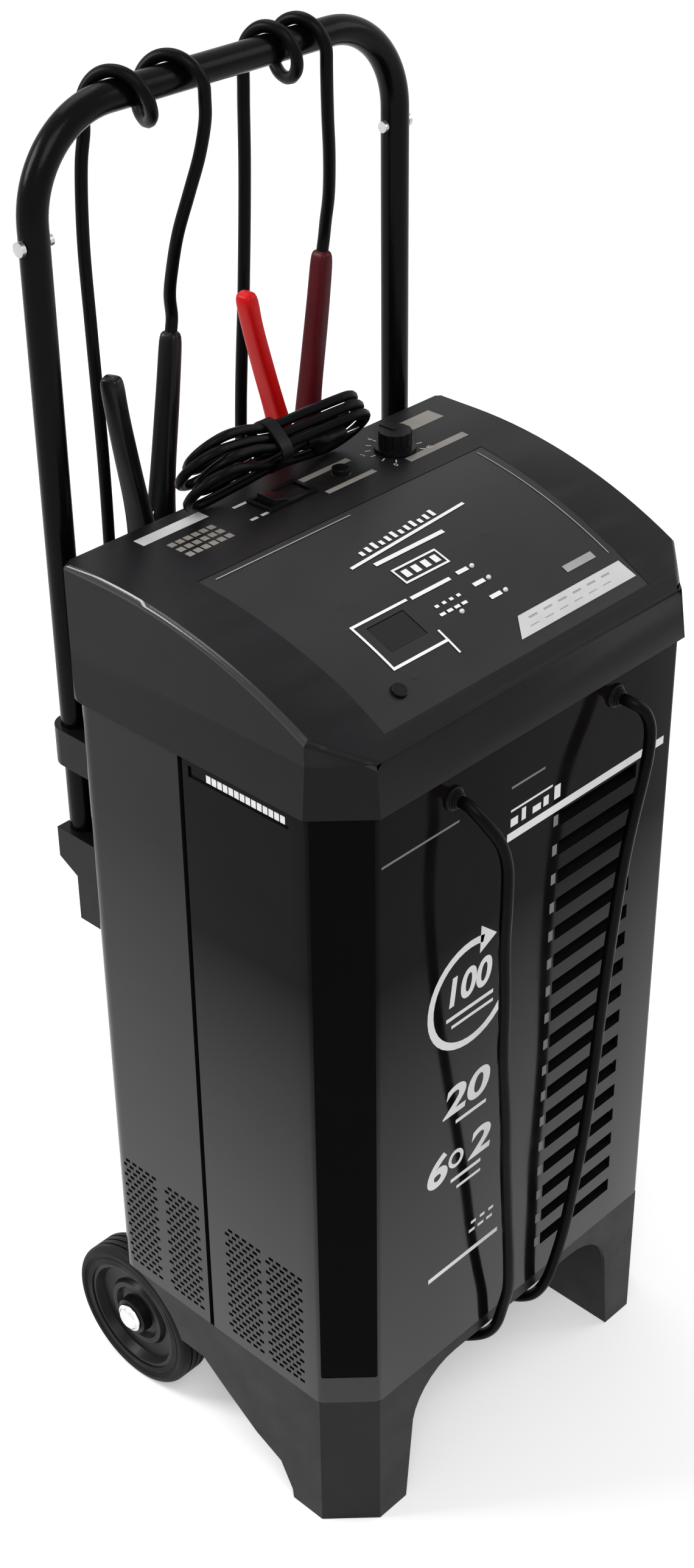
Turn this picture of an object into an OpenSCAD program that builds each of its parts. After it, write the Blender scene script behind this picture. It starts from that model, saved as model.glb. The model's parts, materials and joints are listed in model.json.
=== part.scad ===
/* [Body] */
// Width of the housings, side to side
body_w = 340; // [300:1:400]
// Depth of the housings, front panel to back wall
body_d = 230; // [215:1:260]
// Leg of the 45 degree chamfer on the two front corners
corner = 29; // [20:1:40]
// Radius of the two rear corners
back_r = 12; // [6:1:20]
// Wall thickness of the mouldings
wall = 3; // [2.5:0.1:4]
// Height of the parting line between base tray and housings
panel_z = 118; // [116:1:130]
// Height of the lid's lower edge
lid_z = 596; // [560:1:700]
// Depth at which the front housing ends and the rear housing begins
seam_d = 134; // [124:1:150]
// Width of the groove between front and rear housing
seam_gap = 4; // [2:0.5:6]

/* [Lid] */
// How far the lid's lower edge stands proud of the housings
lid_over = 4; // [2:0.5:8]
// Height of the lid's front band
lid_front_h = 34; // [24:1:44]
// Rise of the crown above the front band
crown_h = 57; // [46:1:68]
// Depth at which the crown turns level
crown_d = 196; // [180:1:205]
// Thickness of the lid's top
lid_wall = 4; // [3:0.5:5]
// Lap of the lid over the housings
lid_lap = 10; // [6:1:16]
// Thickness of the console plate
console_t = 1.5; // [1:0.1:2]

/* [Base] */
// Outer size of each foot, measured along both sides
foot_w = 57; // [50:1:62]
// Height at which the front arch leaves the foot
foot_knee_z = 64; // [56:1:64]
// Radius of the front arch beside each foot
arch_flare_r = 44; // [30:1:44]
// Height of the side skirts' lower edge behind the feet
skirt_z = 78; // [74:1:84]
// Height of the tray floor's upper face
floor_z = 112; // [111:1:116]
// Thickness of the tray floor
floor_t = 4; // [3:0.5:5]

/* [Wheels] */
// Outer diameter of the tyres
wheel_d = 116; // [100:1:122]
// Width of the tyres
wheel_w = 27; // [20:1:32]
// Depth of the axle behind the front panel
hub_d = 228; // [215:1:240]
// Diameter of the axle
axle_dia = 12; // [10:0.5:14]
// Gap between tyre and wheel arch
arch_gap = 4; // [3:0.5:8]
// Gap between the wheel's outer face and the side of the body
wheel_inset = 2; // [1:0.5:6]

/* [Handle] */
// Outer diameter of the handle tube
tube_dia = 18.5; // [16:0.5:22]
// Wall thickness of the handle tube
tube_t = 1.5; // [1:0.1:2]
// Distance from the centre plane to each leg tube
leg_x = 150; // [130:1:156]
// Depth of the handle's plane behind the front panel
handle_d = 255; // [250:1:262]
// Height of the grip bar's centre line
bar_z = 942; // [900:1:1000]
// Radius of the grip's two bends
bend_r = 60; // [40:1:70]
// Height at which the grip meets the leg tubes
joint_z = 852; // [820:1:860]
// Height of the leg tubes' lower ends
leg_z = 460; // [440:1:480]

/* [Cords] */
// Diameter of the two charging leads
lead_dia = 8; // [7:0.5:8]
// Diameter of the mains cord
mains_dia = 6.5; // [6:0.5:6.5]
// Turns that each lead takes round the grip bar, ending on its front
bar_turns = 1.5; // [1.5:1:3.5]
// Turns of the mains hank
hank_turns = 3; // [2:1:3]
// Step from one layer of the hank to the next
hank_step = 7.2; // [7.1:0.1:8]
// Distance between the centres of the hank's folds
hank_run = 112; // [100:1:130]

/* [Fits] */
// Radial clearance of shafts that turn in bores
run_fit = 0.05; // [0.02:0.01:0.1]
// Clearance between parts that are pushed into each other
slip = 0.3; // [0.2:0.05:0.4]

/* [Hidden] */
$fn = 48;

// The model's origin is under the middle of the box round everything but the cords
wheel_r = wheel_d / 2;
front_y = -(hub_d + wheel_r - lid_over) / 2;
half_w = body_w / 2;
axle_r = axle_dia / 2;
tube_r = tube_dia / 2;
lead_r = lead_dia / 2;
mains_r = mains_dia / 2;
arch_r = wheel_r + arch_gap;
wheel_x1 = half_w - wheel_inset;
wheel_x0 = wheel_x1 - wheel_w;
hub_z = wheel_r;

// Lid heights and the circle that shapes its crown
lid_front_z = lid_z + lid_front_h;
lid_top_z = lid_front_z + crown_h;
lap_z = lid_z + lid_lap;
crown_r = (pow(crown_d, 2) + pow(crown_h, 2)) / (2 * crown_h);
crown_z = lid_top_z - crown_r;
lid_back = body_d + lid_over;
draft = atan(lid_over / lid_front_h);

// Side vents: blocks of slots, and the front panel's louvres
vent_z0 = 127;
vent_step = 9.6;
vent_rows = 11;
vent_slot = [34, 3.4];
vent_front_d = [42, 81];
vent_rear_d = [141, 184];
louver_x = [27, 105];
louver_z0 = 144.5;
louver_step = 22.6;
louver_rows = 17;
louver_h = 11;

// Shallow grip groove on each side, under the lid
reveal_t = 1.4;
reveal_d = [43, 127];
reveal_z = [lid_z - 15, lid_z - 7];

// Corner inserts
insert_w = 39;
insert_t = 2;
insert_z0 = 142;

// Console outline on the crown, as (x, depth), and what sits in it
console_pts = [[-128, 156], [126, 156], [121, 47], [121, 12], [-122, 12], [-122, 47]];
board_open = [[-84, 22], [60, 97]];
board_mid = -12;
window_x = -60;
window_d = 59.5;
window_size = [31, 21];
lamp_at = [[-12, 51], [27, 50], [25, 62], [23, 74]];
lamp_r = 1.6;
button_at = [-93, 28];
button_r = 5;
button_stroke = 2;
board_drop = 13;
board_t = 1.6;

// Rear strip of the lid
rocker_at = [-18, 196];
rocker_size = [42, 22];
rocker_hole = [36.6, 16];
rocker_tilt = 10;
breaker_at = [32, 193];
breaker_r = 6;
breaker_stroke = 3;
knob_at = [82, 192];
knob_r = 14;
knob_h = 13;
shaft_r = 3;

// Handle brackets and screws
saddle_z = 530;
saddle_h = 27;
socket_z = 412;
socket_top = 478;
bracket_w = 27;
flange_t = 4;
screw_z = 872;
bar_bend_x = leg_x - bend_r;

// Insides
board_x = [30 - half_w, 140 - half_w];
board_z = [410, 500];
fan_z = 250;
fan_size = 92;
fan_t = 25;
core = [130, 80, 110];
core_at = [-35, 90];
core_leg = 21.5;
frame_t = 3;
core_z = floor_z + frame_t;
coil_gap = 0.5;
coil_over = 16;

// Clamps: pivot, turn and lean of each, and the sizes they share
negative_pose = [[-74, 257, 655], 20, 0];
positive_pose = [[53, 254, 675], 6, -3.5];
clamp_len = 132;
clamp_spread = 17;
clamp_w = 20;
clamp_ear_r = 10;
clamp_pin_r = 3;
clamp_cheek = 6.3;
clamp_lug = 4;

// Routes of the cords as (x, depth, height), chosen by hand
negative_path = [[-76, -6, 577], [-76, -12, 577], [-75, -18, 573], [-71, -24, 564], [-66, -29, 553],
    [-63, -32, 538], [-64, -34, 515], [-65, -34, 480], [-62, -33, 435], [-58, -30, 385], [-50, -27, 330],
    [-43, -23, 280], [-36, -20, 230], [-30, -18, 180], [-26, -15, 150], [-25, -10, 128], [-27, -6, 109],
    [-30, 0, 99], [-34, 9, 93], [-38, 22, 87], [-43, 45, 79], [-53, 80, 71], [-65, 120, 65], [-78, 165, 63],
    [-88, 205, 66], [-94, 232, 69], [-98, 252, 76], [-101, 265, 92], [-102, 270, 115],
    [-102, 271, 165], [-102, 271, 300], [-101, 271, 450], [-99, 271, 600], [-98, 271, 710],
    [-100, 271, 800], [-101, 271, 860], [-98, 271, 905]];
positive_path = [[77, -6, 580], [77, -13, 580], [81, -19, 576], [84, -23, 566], [81, -26, 550],
    [74, -28, 532], [66, -29, 510], [60, -28, 478], [54, -27, 430], [50, -25, 370], [48, -22, 300],
    [43, -20, 240], [38, -18, 200], [35, -15, 166], [31, -12, 140], [27, -8.5, 118], [24, -5, 107],
    [21, 0, 99], [18, 9, 93], [17, 35, 83], [17, 80, 71], [18, 120, 65], [20, 165, 63], [21, 205, 66],
    [22, 232, 69], [22, 252, 76], [22, 265, 92],
    [22, 270, 115], [22, 271, 165], [20, 271, 300], [18, 271, 450], [17, 271, 600], [20, 271, 710],
    [27, 271, 800], [31, 271, 870], [32, 271, 910]];
negative_drop_path = [[-33, 241, 900], [-38, 247, 875], [-41, 255, 850], [-40, 263, 826], [-38, 269, 806]];
positive_drop_path = [[74, 241, 897], [79, 245, 870], [83, 250, 842], [85, 255, 824]];
mains_path = [[7, 261, 665], [7, 270, 645], [4, 277, 622], [0, 280, 600], [-2, 277, 580], [-2, 268, 567]];

// Windings of the leads on the grip bar
wind_r = 2 * lead_dia + 0.6;
wind_z = bar_z + tube_r + lead_r + slip - wind_r;
wind_n = 24 * bar_turns;
negative_wind_x = [-94, -30];
positive_wind_x = [33, 71];

// Mains hank: a stack of loops leaning forwards on the lid, drawn in at the waist
hank_x = -8;
hank_lean = 40;
hank_fold = 3 * mains_dia;
hank_waist = 8.5;
hank_mid = 216.5;
hank_d = hank_mid - hank_turns * hank_step / 2;
hank_z = lid_top_z + slip + mains_r + hank_fold * cos(hank_lean) + hank_turns * hank_step / 2 * sin(hank_lean);
hank_half = hank_run / 2;
hank_tuck = [0, 13, 4, 16];
plug_x = 18;
plug_d = hank_d + 0.5 * hank_step;
plug_size = [28, 20, 19];
plug_neck = 6;
gland_at = [-2, 560];
gland_len = 24;

module from_front() {
    translate([0, front_y, 0]) children();
}

// Vector helpers
function unit(v) = v / norm(v);
function arc(c, r, a0, a1, n) = [for (i = [0 : n]) c + r * [cos(a0 + (a1 - a0) * i / n), sin(a0 + (a1 - a0) * i / n)]];
function ease(t) = t * t * (3 - 2 * t);
function spin(v, a) = [v[0] * cos(a) - v[1] * sin(a), v[0] * sin(a) + v[1] * cos(a), v[2]];
function heading(p, i) = unit(p[min(i + 1, len(p) - 1)] - p[max(i - 1, 0)]);
// Carries a side direction along the path, so that the tube doesn't twist
function carried(p, i, s) = unit(s - (s * heading(p, i)) * heading(p, i));
function sides(p, s, i = 0, out = []) =
    i == len(p) ? out : sides(p, carried(p, i, s), i + 1, concat(out, [carried(p, i, s)]));

// One closed tube of n sides along the points p
module tube(p, r, n) {
    s = sides(p, abs(heading(p, 0)[0]) > 0.7 ? [0, 0, 1] : [1, 0, 0]);
    rings = [for (i = [0 : len(p) - 1]) let (t = heading(p, i), b = cross(t, s[i]))
        for (k = [0 : n - 1]) p[i] + r * (cos(360 * k / n) * s[i] + sin(360 * k / n) * b)];
    last = len(p) - 1;
    skin = [for (i = [0 : last - 1]) for (k = [0 : n - 1]) let (a = i * n + k, b = i * n + (k + 1) % n)
        for (f = [[a, a + n, b], [b, a + n, b + n]]) f];
    start = [for (k = [1 : n - 2]) [0, k, k + 1]];
    end = [for (k = [1 : n - 2]) [last * n, last * n + k + 1, last * n + k]];
    polyhedron(rings, concat(skin, start, end));
}

// Least gap of a wound tube to itself, over points more than a quarter loop apart
function self_gap(p, dia) = min([for (i = [0 : len(p) - 8]) min([for (j = [i + 7 : len(p) - 1])
    norm(p[i] - p[j])])]) - dia;

// Plan of the housings, grown or shrunk by inset on every side
module outline(inset = 0) {
    half = half_w - inset;
    leg = corner + inset * (sqrt(2) - 1);
    front_half = half_w - leg;
    r = max(back_r - inset, 1);
    back = body_d - inset;
    polygon([[-front_half, inset], [front_half, inset], [half, leg], [half, back - r],
        [-half, back - r], [-half, leg]]);
    translate([-half + r, back - 2 * r]) square([2 * (half - r), 2 * r]);
    for (s = [-1, 1]) translate([s * (half - r), back - r]) circle(r);
}

// Side profile extruded across the body, and front profile extruded along its depth
module across(x0, x1) {
    translate([x0, 0, 0]) rotate([90, 0, 90]) linear_extrude(x1 - x0) children();
}
module along(d0, d1) {
    translate([0, d1, 0]) rotate([90, 0, 0]) linear_extrude(d1 - d0) children();
}

// Cylinder along the depth, or across the body
module rod_back(x, d0, d1, z, r) {
    translate([x, d0, z]) rotate([-90, 0, 0]) cylinder(h = d1 - d0, r = r);
}
module rod_across(x0, x1, d, z, r) {
    translate([x0, d, z]) rotate([0, 90, 0]) cylinder(h = x1 - x0, r = r);
}

// Box between two corners
module span(a, b) {
    translate(a) cube(b - a);
}

// Both sides of the body
module both() {
    children();
    mirror([1, 0, 0]) children();
}

// Base tray ------------------------------------------------------------------

module front_arch() {
    x = half_w - foot_w + 1;
    knee = x - 6;
    c = [knee - arch_flare_r, foot_knee_z];
    right = arc(c, arch_flare_r, 0, 90, 8);
    left = [for (i = [8 : -1 : 0]) [-right[i][0], right[i][1]]];
    polygon(concat([[x, -1]], right, left, [[-x, -1]]));
}

module side_cut() {
    d = foot_w;
    polygon([[d, -1], [d + 1, 8], [d + 12, 29], [d + 36, 40], [d + 65, 60], [d + 89, skirt_z],
        [body_d + 30, skirt_z], [body_d + 30, -1]]);
}

module base_block() {
    difference() {
        linear_extrude(panel_z) outline();
        along(-1, body_d + 1) front_arch();
        across(-half_w - 1, half_w + 1) side_cut();
        // room under the floor, with the feet left standing
        difference() {
            translate([0, 0, -1]) linear_extrude(floor_z - floor_t + 1) outline(wall);
            both() span([half_w - foot_w - 4, -1, -2], [half_w + 1, foot_w + 16, floor_z]);
        }
        translate([0, 0, floor_z]) linear_extrude(panel_z) outline(wall);
    }
}

// Hollow of the feet, open into the tray
module foot_hollow() {
    intersection() {
        translate([0, 0, wall]) linear_extrude(panel_z) outline(wall);
        both() span([half_w - foot_w + 5, 0, 0], [half_w, foot_w - 4, panel_z + 1]);
    }
}

module tray_floor() {
    translate([0, 0, floor_z - floor_t]) linear_extrude(floor_t) outline(wall / 2);
}

module wheel_liner() {
    intersection() {
        rod_across(wheel_x0 - 7, half_w, hub_d, hub_z, arch_r + wall);
        union() {
            translate([0, 0, skirt_z]) linear_extrude(panel_z - skirt_z) outline();
            translate([0, 0, skirt_z]) linear_extrude(60) outline(wall + slip);
        }
    }
}

module axle_bracket() {
    across(wheel_x0 - 21, wheel_x0 - 8) {
        polygon([[hub_d - 38, floor_z - 1], [hub_d - 13, hub_z - 6], [hub_d + 13, hub_z - 4],
            [hub_d + 14, hub_z + 10], [body_d - 1, skirt_z + 2], [body_d - 1, floor_z - 1]]);
        translate([hub_d, hub_z]) circle(14);
    }
}

module base_tray() {
    color("#1b1a1d") from_front() difference() {
        union() {
            base_block();
            tray_floor();
            both() wheel_liner();
            both() axle_bracket();
        }
        foot_hollow();
        both() rod_across(wheel_x0 - 4, half_w + 1, hub_d, hub_z, arch_r);
        rod_across(-half_w, half_w, hub_d, hub_z, axle_r + run_fit);
    }
}

// Housings -------------------------------------------------------------------

module shell() {
    difference() {
        translate([0, 0, panel_z]) linear_extrude(lap_z - panel_z) outline();
        translate([0, 0, panel_z - 1]) linear_extrude(lap_z) outline(wall);
        both() rod_across(wheel_x0 - 4, half_w + 1, hub_d, hub_z, arch_r);
    }
}

module side_vents(starts) {
    for (d = starts, i = [0 : vent_rows - 1])
        translate([-half_w - 1, d, vent_z0 + i * vent_step]) cube([body_w + 2, vent_slot[0], vent_slot[1]]);
}

module corner_pose() {
    translate([half_w - corner / 2, corner / 2, 0]) rotate([0, 0, 45]) children();
}

module insert_box(grow) {
    translate([-insert_w / 2 - grow, -1, insert_z0 - grow])
        cube([insert_w + 2 * grow, insert_t + 1, lap_z - insert_z0 + 1]);
}

module front_housing() {
    color("#242126") from_front() difference() {
        intersection() {
            shell();
            span([-half_w, -1, 0], [half_w, seam_d - seam_gap / 2, lap_z]);
        }
        side_vents(vent_front_d);
        for (i = [0 : louver_rows - 1])
            span([louver_x[0], -1, louver_z0 + i * louver_step],
                [louver_x[1], wall + 1, louver_z0 + i * louver_step + louver_h]);
        both() corner_pose() insert_box(slip);
        both() span([half_w - reveal_t, reveal_d[0], reveal_z[0]], [half_w + 1, reveal_d[1], reveal_z[1]]);
        for (p = [negative_path[0], positive_path[0]]) rod_back(p[0], -1, wall + 1, p[2], lead_r + 1);
    }
}

module fan_grille() {
    for (i = [-4 : 4]) {
        w = 2 * sqrt(pow(fan_size / 2 - 4, 2) - pow(i * 9, 2));
        span([-w / 2, body_d - wall - 1, fan_z + i * 9 - 2.5], [w / 2, body_d + 1, fan_z + i * 9 + 2.5]);
    }
}

module seam_tongue() {
    t = wall + slip;
    difference() {
        translate([0, 0, panel_z]) linear_extrude(lap_z - panel_z) outline(t - 0.1);
        translate([0, 0, panel_z - 1]) linear_extrude(lap_z) outline(t + 2);
        span([-half_w, -1, 0], [half_w, seam_d - 12, lap_z + 1]);
        span([-half_w, seam_d + 12, 0], [half_w, body_d + 1, lap_z + 1]);
    }
}

module rear_housing() {
    color("#242126") from_front() {
        difference() {
            union() {
                intersection() {
                    shell();
                    span([-half_w, seam_d + seam_gap / 2, 0], [half_w, body_d, lap_z]);
                }
                difference() {
                    seam_tongue();
                    side_vents(vent_front_d);
                }
                both() span([half_w - wall - 2, seam_d + seam_gap / 2, panel_z],
                    [half_w - wall + 0.1, seam_d + 12, lap_z]);
            }
            side_vents(vent_rear_d);
            fan_grille();
            rod_back(gland_at[0], body_d - wall - 1, body_d + 1, gland_at[1], 6);
            both() screw_holes(concat(bracket_at, housing_at), body_d - wall - 1, body_d + 1);
        }
        for (x = board_x, z = board_z) rod_back(x, body_d - wall - 8, body_d - wall, z, 3);
    }
}

module corner_insert() {
    color("#0a0a0c") from_front() intersection() {
        corner_pose() insert_box(0);
        translate([0, 0, panel_z]) linear_extrude(lap_z - panel_z) outline();
    }
}
module corner_insert_left() { mirror([1, 0, 0]) corner_insert(); }
module corner_insert_right() { corner_insert(); }

// Lid ------------------------------------------------------------------------

// Side view of the lid below a crown of radius r, with its lower front edge moved in by inset
module lid_profile(r, inset) {
    top = crown_z + r;
    intersection() {
        polygon([[-lid_over + inset, lid_z], [inset, lid_front_z], [inset, top],
            [body_d - inset, top], [body_d - inset, lid_front_z], [lid_back - inset, lid_z]]);
        union() {
            translate([crown_d, crown_z]) circle(r, $fn = 240);
            translate([crown_d, lid_z]) square([lid_back, top - lid_z]);
        }
    }
}

module lid_section(inset) {
    polygon([[-half_w - lid_over + inset, lid_z], [-half_w + inset, lid_front_z],
        [-half_w + inset, lid_top_z + 1], [half_w - inset, lid_top_z + 1],
        [half_w - inset, lid_front_z], [half_w + lid_over - inset, lid_z]]);
}

// Slanted faces of the lid over the chamfered corners
module chamfer_cut(inset) {
    both() translate([half_w - corner / 2, corner / 2, lid_front_z]) rotate([0, 0, 45])
        rotate([-draft, 0, 0]) span([-60, -40, -60], [60, inset, 0.1]);
    both() corner_pose() span([-60, -40, lid_front_z - 0.01], [60, inset, lid_top_z + 9]);
}

module lid_form(inset, r) {
    difference() {
        intersection() {
            translate([0, 0, lid_z]) linear_extrude(lid_top_z) outline(inset - lid_over);
            across(-half_w - lid_over, half_w + lid_over) lid_profile(r, inset);
            along(-lid_over, lid_back) lid_section(inset);
        }
        chamfer_cut(inset);
    }
}

// Layer of the crown between two depths under its surface, within the outline of its children
module crown_layer(deep, shallow) {
    intersection() {
        translate([0, 0, lid_front_z - 30]) linear_extrude(crown_h + 60) children();
        across(-half_w, half_w) difference() {
            translate([crown_d, crown_z]) circle(crown_r - shallow, $fn = 240);
            translate([crown_d, crown_z]) circle(crown_r - deep, $fn = 240);
        }
    }
}

// Places its children on the crown, with +Z out of the surface
module on_crown(x, d) {
    translate([x, crown_d, crown_z]) rotate([asin((crown_d - d) / crown_r), 0, 0])
        translate([0, 0, crown_r]) children();
}

module console_area(grow) {
    polygon([for (p = console_pts) p + grow * [sign(p[0]), p[1] > 100 ? 1 : p[1] < 20 ? -1 : 0]]);
}

module board_area() {
    translate(board_open[0]) square(board_open[1] - board_open[0]);
}

module lid_housing() {
    color("#2b2b2f") from_front() difference() {
        lid_form(0, crown_r);
        intersection() {
            translate([0, 0, lap_z]) linear_extrude(lid_top_z) outline(wall);
            lid_form(wall, crown_r - lid_wall);
        }
        translate([0, 0, lid_z - 1]) linear_extrude(lid_lap + 1) outline(-slip);
        crown_layer(console_t, -9) console_area(slip);
        crown_layer(lid_wall + 9, -9) board_area();
        on_crown(button_at[0], button_at[1]) translate([0, 0, -20]) cylinder(h = 40, r = button_r + 1);
        translate([rocker_at[0], rocker_at[1], lid_top_z - 15])
            translate([-rocker_hole[0] / 2 - 1, -rocker_hole[1] / 2 - 1, 0])
            cube([rocker_hole[0] + 2, rocker_hole[1] + 2, 30]);
        translate([breaker_at[0], breaker_at[1], lid_top_z - 15]) cylinder(h = 30, r = breaker_r + slip);
        translate([knob_at[0], knob_at[1], lid_top_z - 15]) cylinder(h = 30, r = shaft_r + run_fit);
    }
}

module console_panel() {
    color("#26272b") from_front() {
        difference() {
            crown_layer(console_t - 0.1, 0.3) console_area(0);
            on_crown(window_x, window_d)
                translate([-window_size[0] / 2 - slip, -window_size[1] / 2 - slip, -9])
                cube([window_size[0] + 2 * slip, window_size[1] + 2 * slip, 18]);
            for (p = lamp_at) on_crown(p[0], p[1]) translate([0, 0, -9]) cylinder(h = 18, r = lamp_r + 0.15);
            on_crown(button_at[0], button_at[1]) translate([0, 0, -9]) cylinder(h = 18, r = button_r + slip);
        }
        on_crown(board_mid, window_d) for (x = [-64, 64], y = [-30, 30])
            translate([x, y, -board_drop]) cylinder(h = board_drop - console_t, r = 3);
    }
}

module display_window() {
    color("#0c0d10") from_front() on_crown(window_x, window_d)
        translate([-window_size[0] / 2, -window_size[1] / 2, -board_drop]) {
            cube([window_size[0], window_size[1], 6]);
            translate([2, 2, 0]) cube([window_size[0] - 4, window_size[1] - 4, board_drop - 0.8]);
            translate([0, 0, board_drop - 4]) cube([window_size[0], window_size[1], 3.4]);
        }
}

module display_board() {
    color("#1f5a35") from_front() on_crown(board_mid, window_d)
        translate([-70, -35, -board_drop - board_t]) cube([140, 70, board_t]);
}

module status_lamps() {
    color("#e8e6df") from_front() for (p = lamp_at) on_crown(p[0], p[1]) {
        translate([0, 0, -board_drop + 1.2]) cylinder(h = board_drop - 1.2, r = lamp_r);
        sphere(lamp_r, $fn = 24);
    }
}

module select_button() {
    color("#19191b") from_front() on_crown(button_at[0], button_at[1]) {
        translate([0, 0, -8]) cylinder(h = 8 + button_stroke, r = button_r);
        translate([0, 0, -8]) cylinder(h = 2.5, r = button_r + 0.8);
    }
}

module rocker_frame() {
    w = rocker_size[0];
    l = rocker_size[1];
    color("#111113") from_front() translate([rocker_at[0], rocker_at[1], lid_top_z]) {
        difference() {
            union() {
                translate([-w / 2, -l / 2, 0]) cube([w, l, 2]);
                translate([-rocker_hole[0] / 2 - 0.8, -rocker_hole[1] / 2 - 0.8, -24])
                    cube([rocker_hole[0] + 1.6, rocker_hole[1] + 1.6, 24]);
            }
            translate([-rocker_hole[0] / 2, -rocker_hole[1] / 2, -14])
                cube([rocker_hole[0], rocker_hole[1], 30]);
        }
        rod_back(0, -rocker_hole[1] / 2 - 0.5, rocker_hole[1] / 2 + 0.5, -4, 1.5);
        for (x = [-12, 0, 12]) translate([x - 2.4, -0.4, -32]) cube([4.8, 0.8, 8.1]);
    }
}

module rocker_switch() {
    r = rocker_hole[0] / 2 - 2.3;
    color("#0d0d0f") from_front() translate([rocker_at[0], rocker_at[1], lid_top_z - 4])
        rotate([0, rocker_tilt, 0]) difference() {
            along(-rocker_hole[1] / 2 + slip, rocker_hole[1] / 2 - slip)
                polygon([[-r, 7.5], [0, 5.5], [r, 7.5], [r, 1], [6, -4], [-6, -4], [-r, 1]]);
            rod_back(0, -20, 20, 0, 1.5 + run_fit);
        }
}

module breaker_body() {
    color("#202022") from_front() translate([breaker_at[0], breaker_at[1], lid_top_z - lid_wall - slip]) {
        difference() {
            translate([-13, -9, -28]) cube([26, 18, 28]);
            translate([0, 0, -12]) cylinder(h = 13, r = breaker_r + 1.2);
            translate([0, 0, -20]) cylinder(h = 20, r = 2 + run_fit);
        }
        for (x = [-7, 7]) translate([x - 3, -0.4, -36]) cube([6, 0.8, 8.1]);
    }
}

module breaker_button() {
    color("#141416") from_front() translate([breaker_at[0], breaker_at[1], lid_top_z]) {
        translate([0, 0, -lid_wall - 4]) cylinder(h = lid_wall + 4 + breaker_stroke + 1, r = breaker_r);
        translate([0, 0, -lid_wall - 16]) cylinder(h = 14, r = 2);
        translate([0, 0, -lid_wall - 4]) cylinder(h = 3.5, r = breaker_r + 0.9);
    }
}

module selector_body() {
    color("#202022") from_front() translate([knob_at[0], knob_at[1], lid_top_z - lid_wall]) difference() {
        union() {
            translate([0, 0, -14]) cylinder(h = 8, r = 14);
            translate([0, 0, -6.1]) cylinder(h = 6.1 - slip, r = 5);
        }
        translate([0, 0, -15]) cylinder(h = 20, r = shaft_r + run_fit);
    }
}

module selector_knob() {
    color("#161618") from_front() translate([knob_at[0], knob_at[1], lid_top_z]) {
        difference() {
            union() {
                translate([0, 0, 0.4]) cylinder(h = 2.2, r = knob_r);
                translate([0, 0, 0.4]) cylinder(h = knob_h, r = knob_r - 3);
            }
            for (a = [0 : 30 : 330]) rotate([0, 0, a]) translate([knob_r - 2.4, 0, 3.4])
                cylinder(h = knob_h, r = 1.2);
        }
        translate([-1.5, 0, 2]) cube([3, knob_r - 1.5, knob_h - 1]);
        translate([0, 0, -lid_wall - 16]) cylinder(h = lid_wall + 17, r = shaft_r);
    }
}

// Handle ---------------------------------------------------------------------

// Outer or inner form of the grip, r being its radius
module grip_form(r, over) {
    both() {
        translate([bar_bend_x, handle_d, bar_z - bend_r]) rotate([90, 0, 0])
            rotate_extrude(angle = 90, $fn = 64) translate([bend_r, 0]) circle(r);
        translate([leg_x, handle_d, joint_z - over]) cylinder(h = bar_z - bend_r - joint_z + over, r = r);
    }
    rod_across(-bar_bend_x, bar_bend_x, handle_d, bar_z, r);
}

module handle_grip() {
    color("#151517") from_front() difference() {
        grip_form(tube_r, 0);
        grip_form(tube_r - tube_t, 1);
        both() rod_across(leg_x - tube_r - 1, leg_x + tube_r + 1, handle_d, screw_z, shank_r + slip);
    }
}

module handle_leg() {
    r = tube_r - tube_t - 0.15;
    color("#151517") from_front() translate([leg_x, handle_d, 0]) difference() {
        union() {
            translate([0, 0, leg_z]) cylinder(h = joint_z - leg_z, r = tube_r);
            translate([0, 0, joint_z - 0.01]) cylinder(h = bar_z - bend_r - joint_z, r = r);
        }
        translate([0, 0, leg_z - 1]) cylinder(h = bar_z - leg_z, r = r - tube_t);
        rod_across(-tube_r, tube_r, 0, screw_z, shank_r + slip);
    }
}
module handle_leg_left() { mirror([1, 0, 0]) handle_leg(); }
module handle_leg_right() { handle_leg(); }

module handle_saddles() {
    color("#18181a") from_front() both() difference() {
        union() {
            translate([leg_x - bracket_w / 2, body_d, saddle_z]) cube([bracket_w, handle_d - body_d, saddle_h]);
            translate([leg_x, handle_d, saddle_z]) cylinder(h = saddle_h, r = bracket_w / 2);
            translate([leg_x - 29, body_d, saddle_z]) cube([29, flange_t, saddle_h]);
        }
        translate([leg_x, handle_d, saddle_z - 1]) cylinder(h = saddle_h + 2, r = tube_r + 0.1);
        screw_holes(bracket_at, body_d - 1, body_d + flange_t + 1);
    }
}

module handle_sockets() {
    back = handle_d + bracket_w / 2 - 2;
    color("#18181a") from_front() both() difference() {
        union() {
            across(leg_x - bracket_w / 2, leg_x + bracket_w / 2)
                polygon([[body_d, socket_z], [handle_d - 5, socket_z], [handle_d - 5, leg_z - 14],
                    [back, leg_z - 5], [back, socket_top], [body_d, socket_top]]);
            translate([leg_x - 29, body_d, socket_z]) cube([29, flange_t, 34]);
        }
        translate([leg_x, handle_d, leg_z]) cylinder(h = 80, r = tube_r + 0.1);
        screw_holes(bracket_at, body_d - 1, body_d + flange_t + 1);
    }
}

// Where the brackets' and the rear housing's screws go, on one side
bracket_at = [[leg_x - 21, saddle_z + saddle_h / 2], [leg_x - 21, socket_z + 17]];
housing_at = [for (z = [140, 380, 570]) [half_w - 24, z]];
shank_r = 2;

module screw_holes(at, d0, d1) {
    for (p = at) rod_back(p[0], d0, d1, p[1], shank_r + 0.1);
}

// Pan-head screw with its head behind d and its shank forwards into the part
module screw(x, d, z, head, deep) {
    translate([x, d, z]) rotate([90, 0, 0]) {
        cylinder(h = deep, r = shank_r);
        translate([0, 0, -2.4]) cylinder(h = 2.4, r = head);
    }
}

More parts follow.
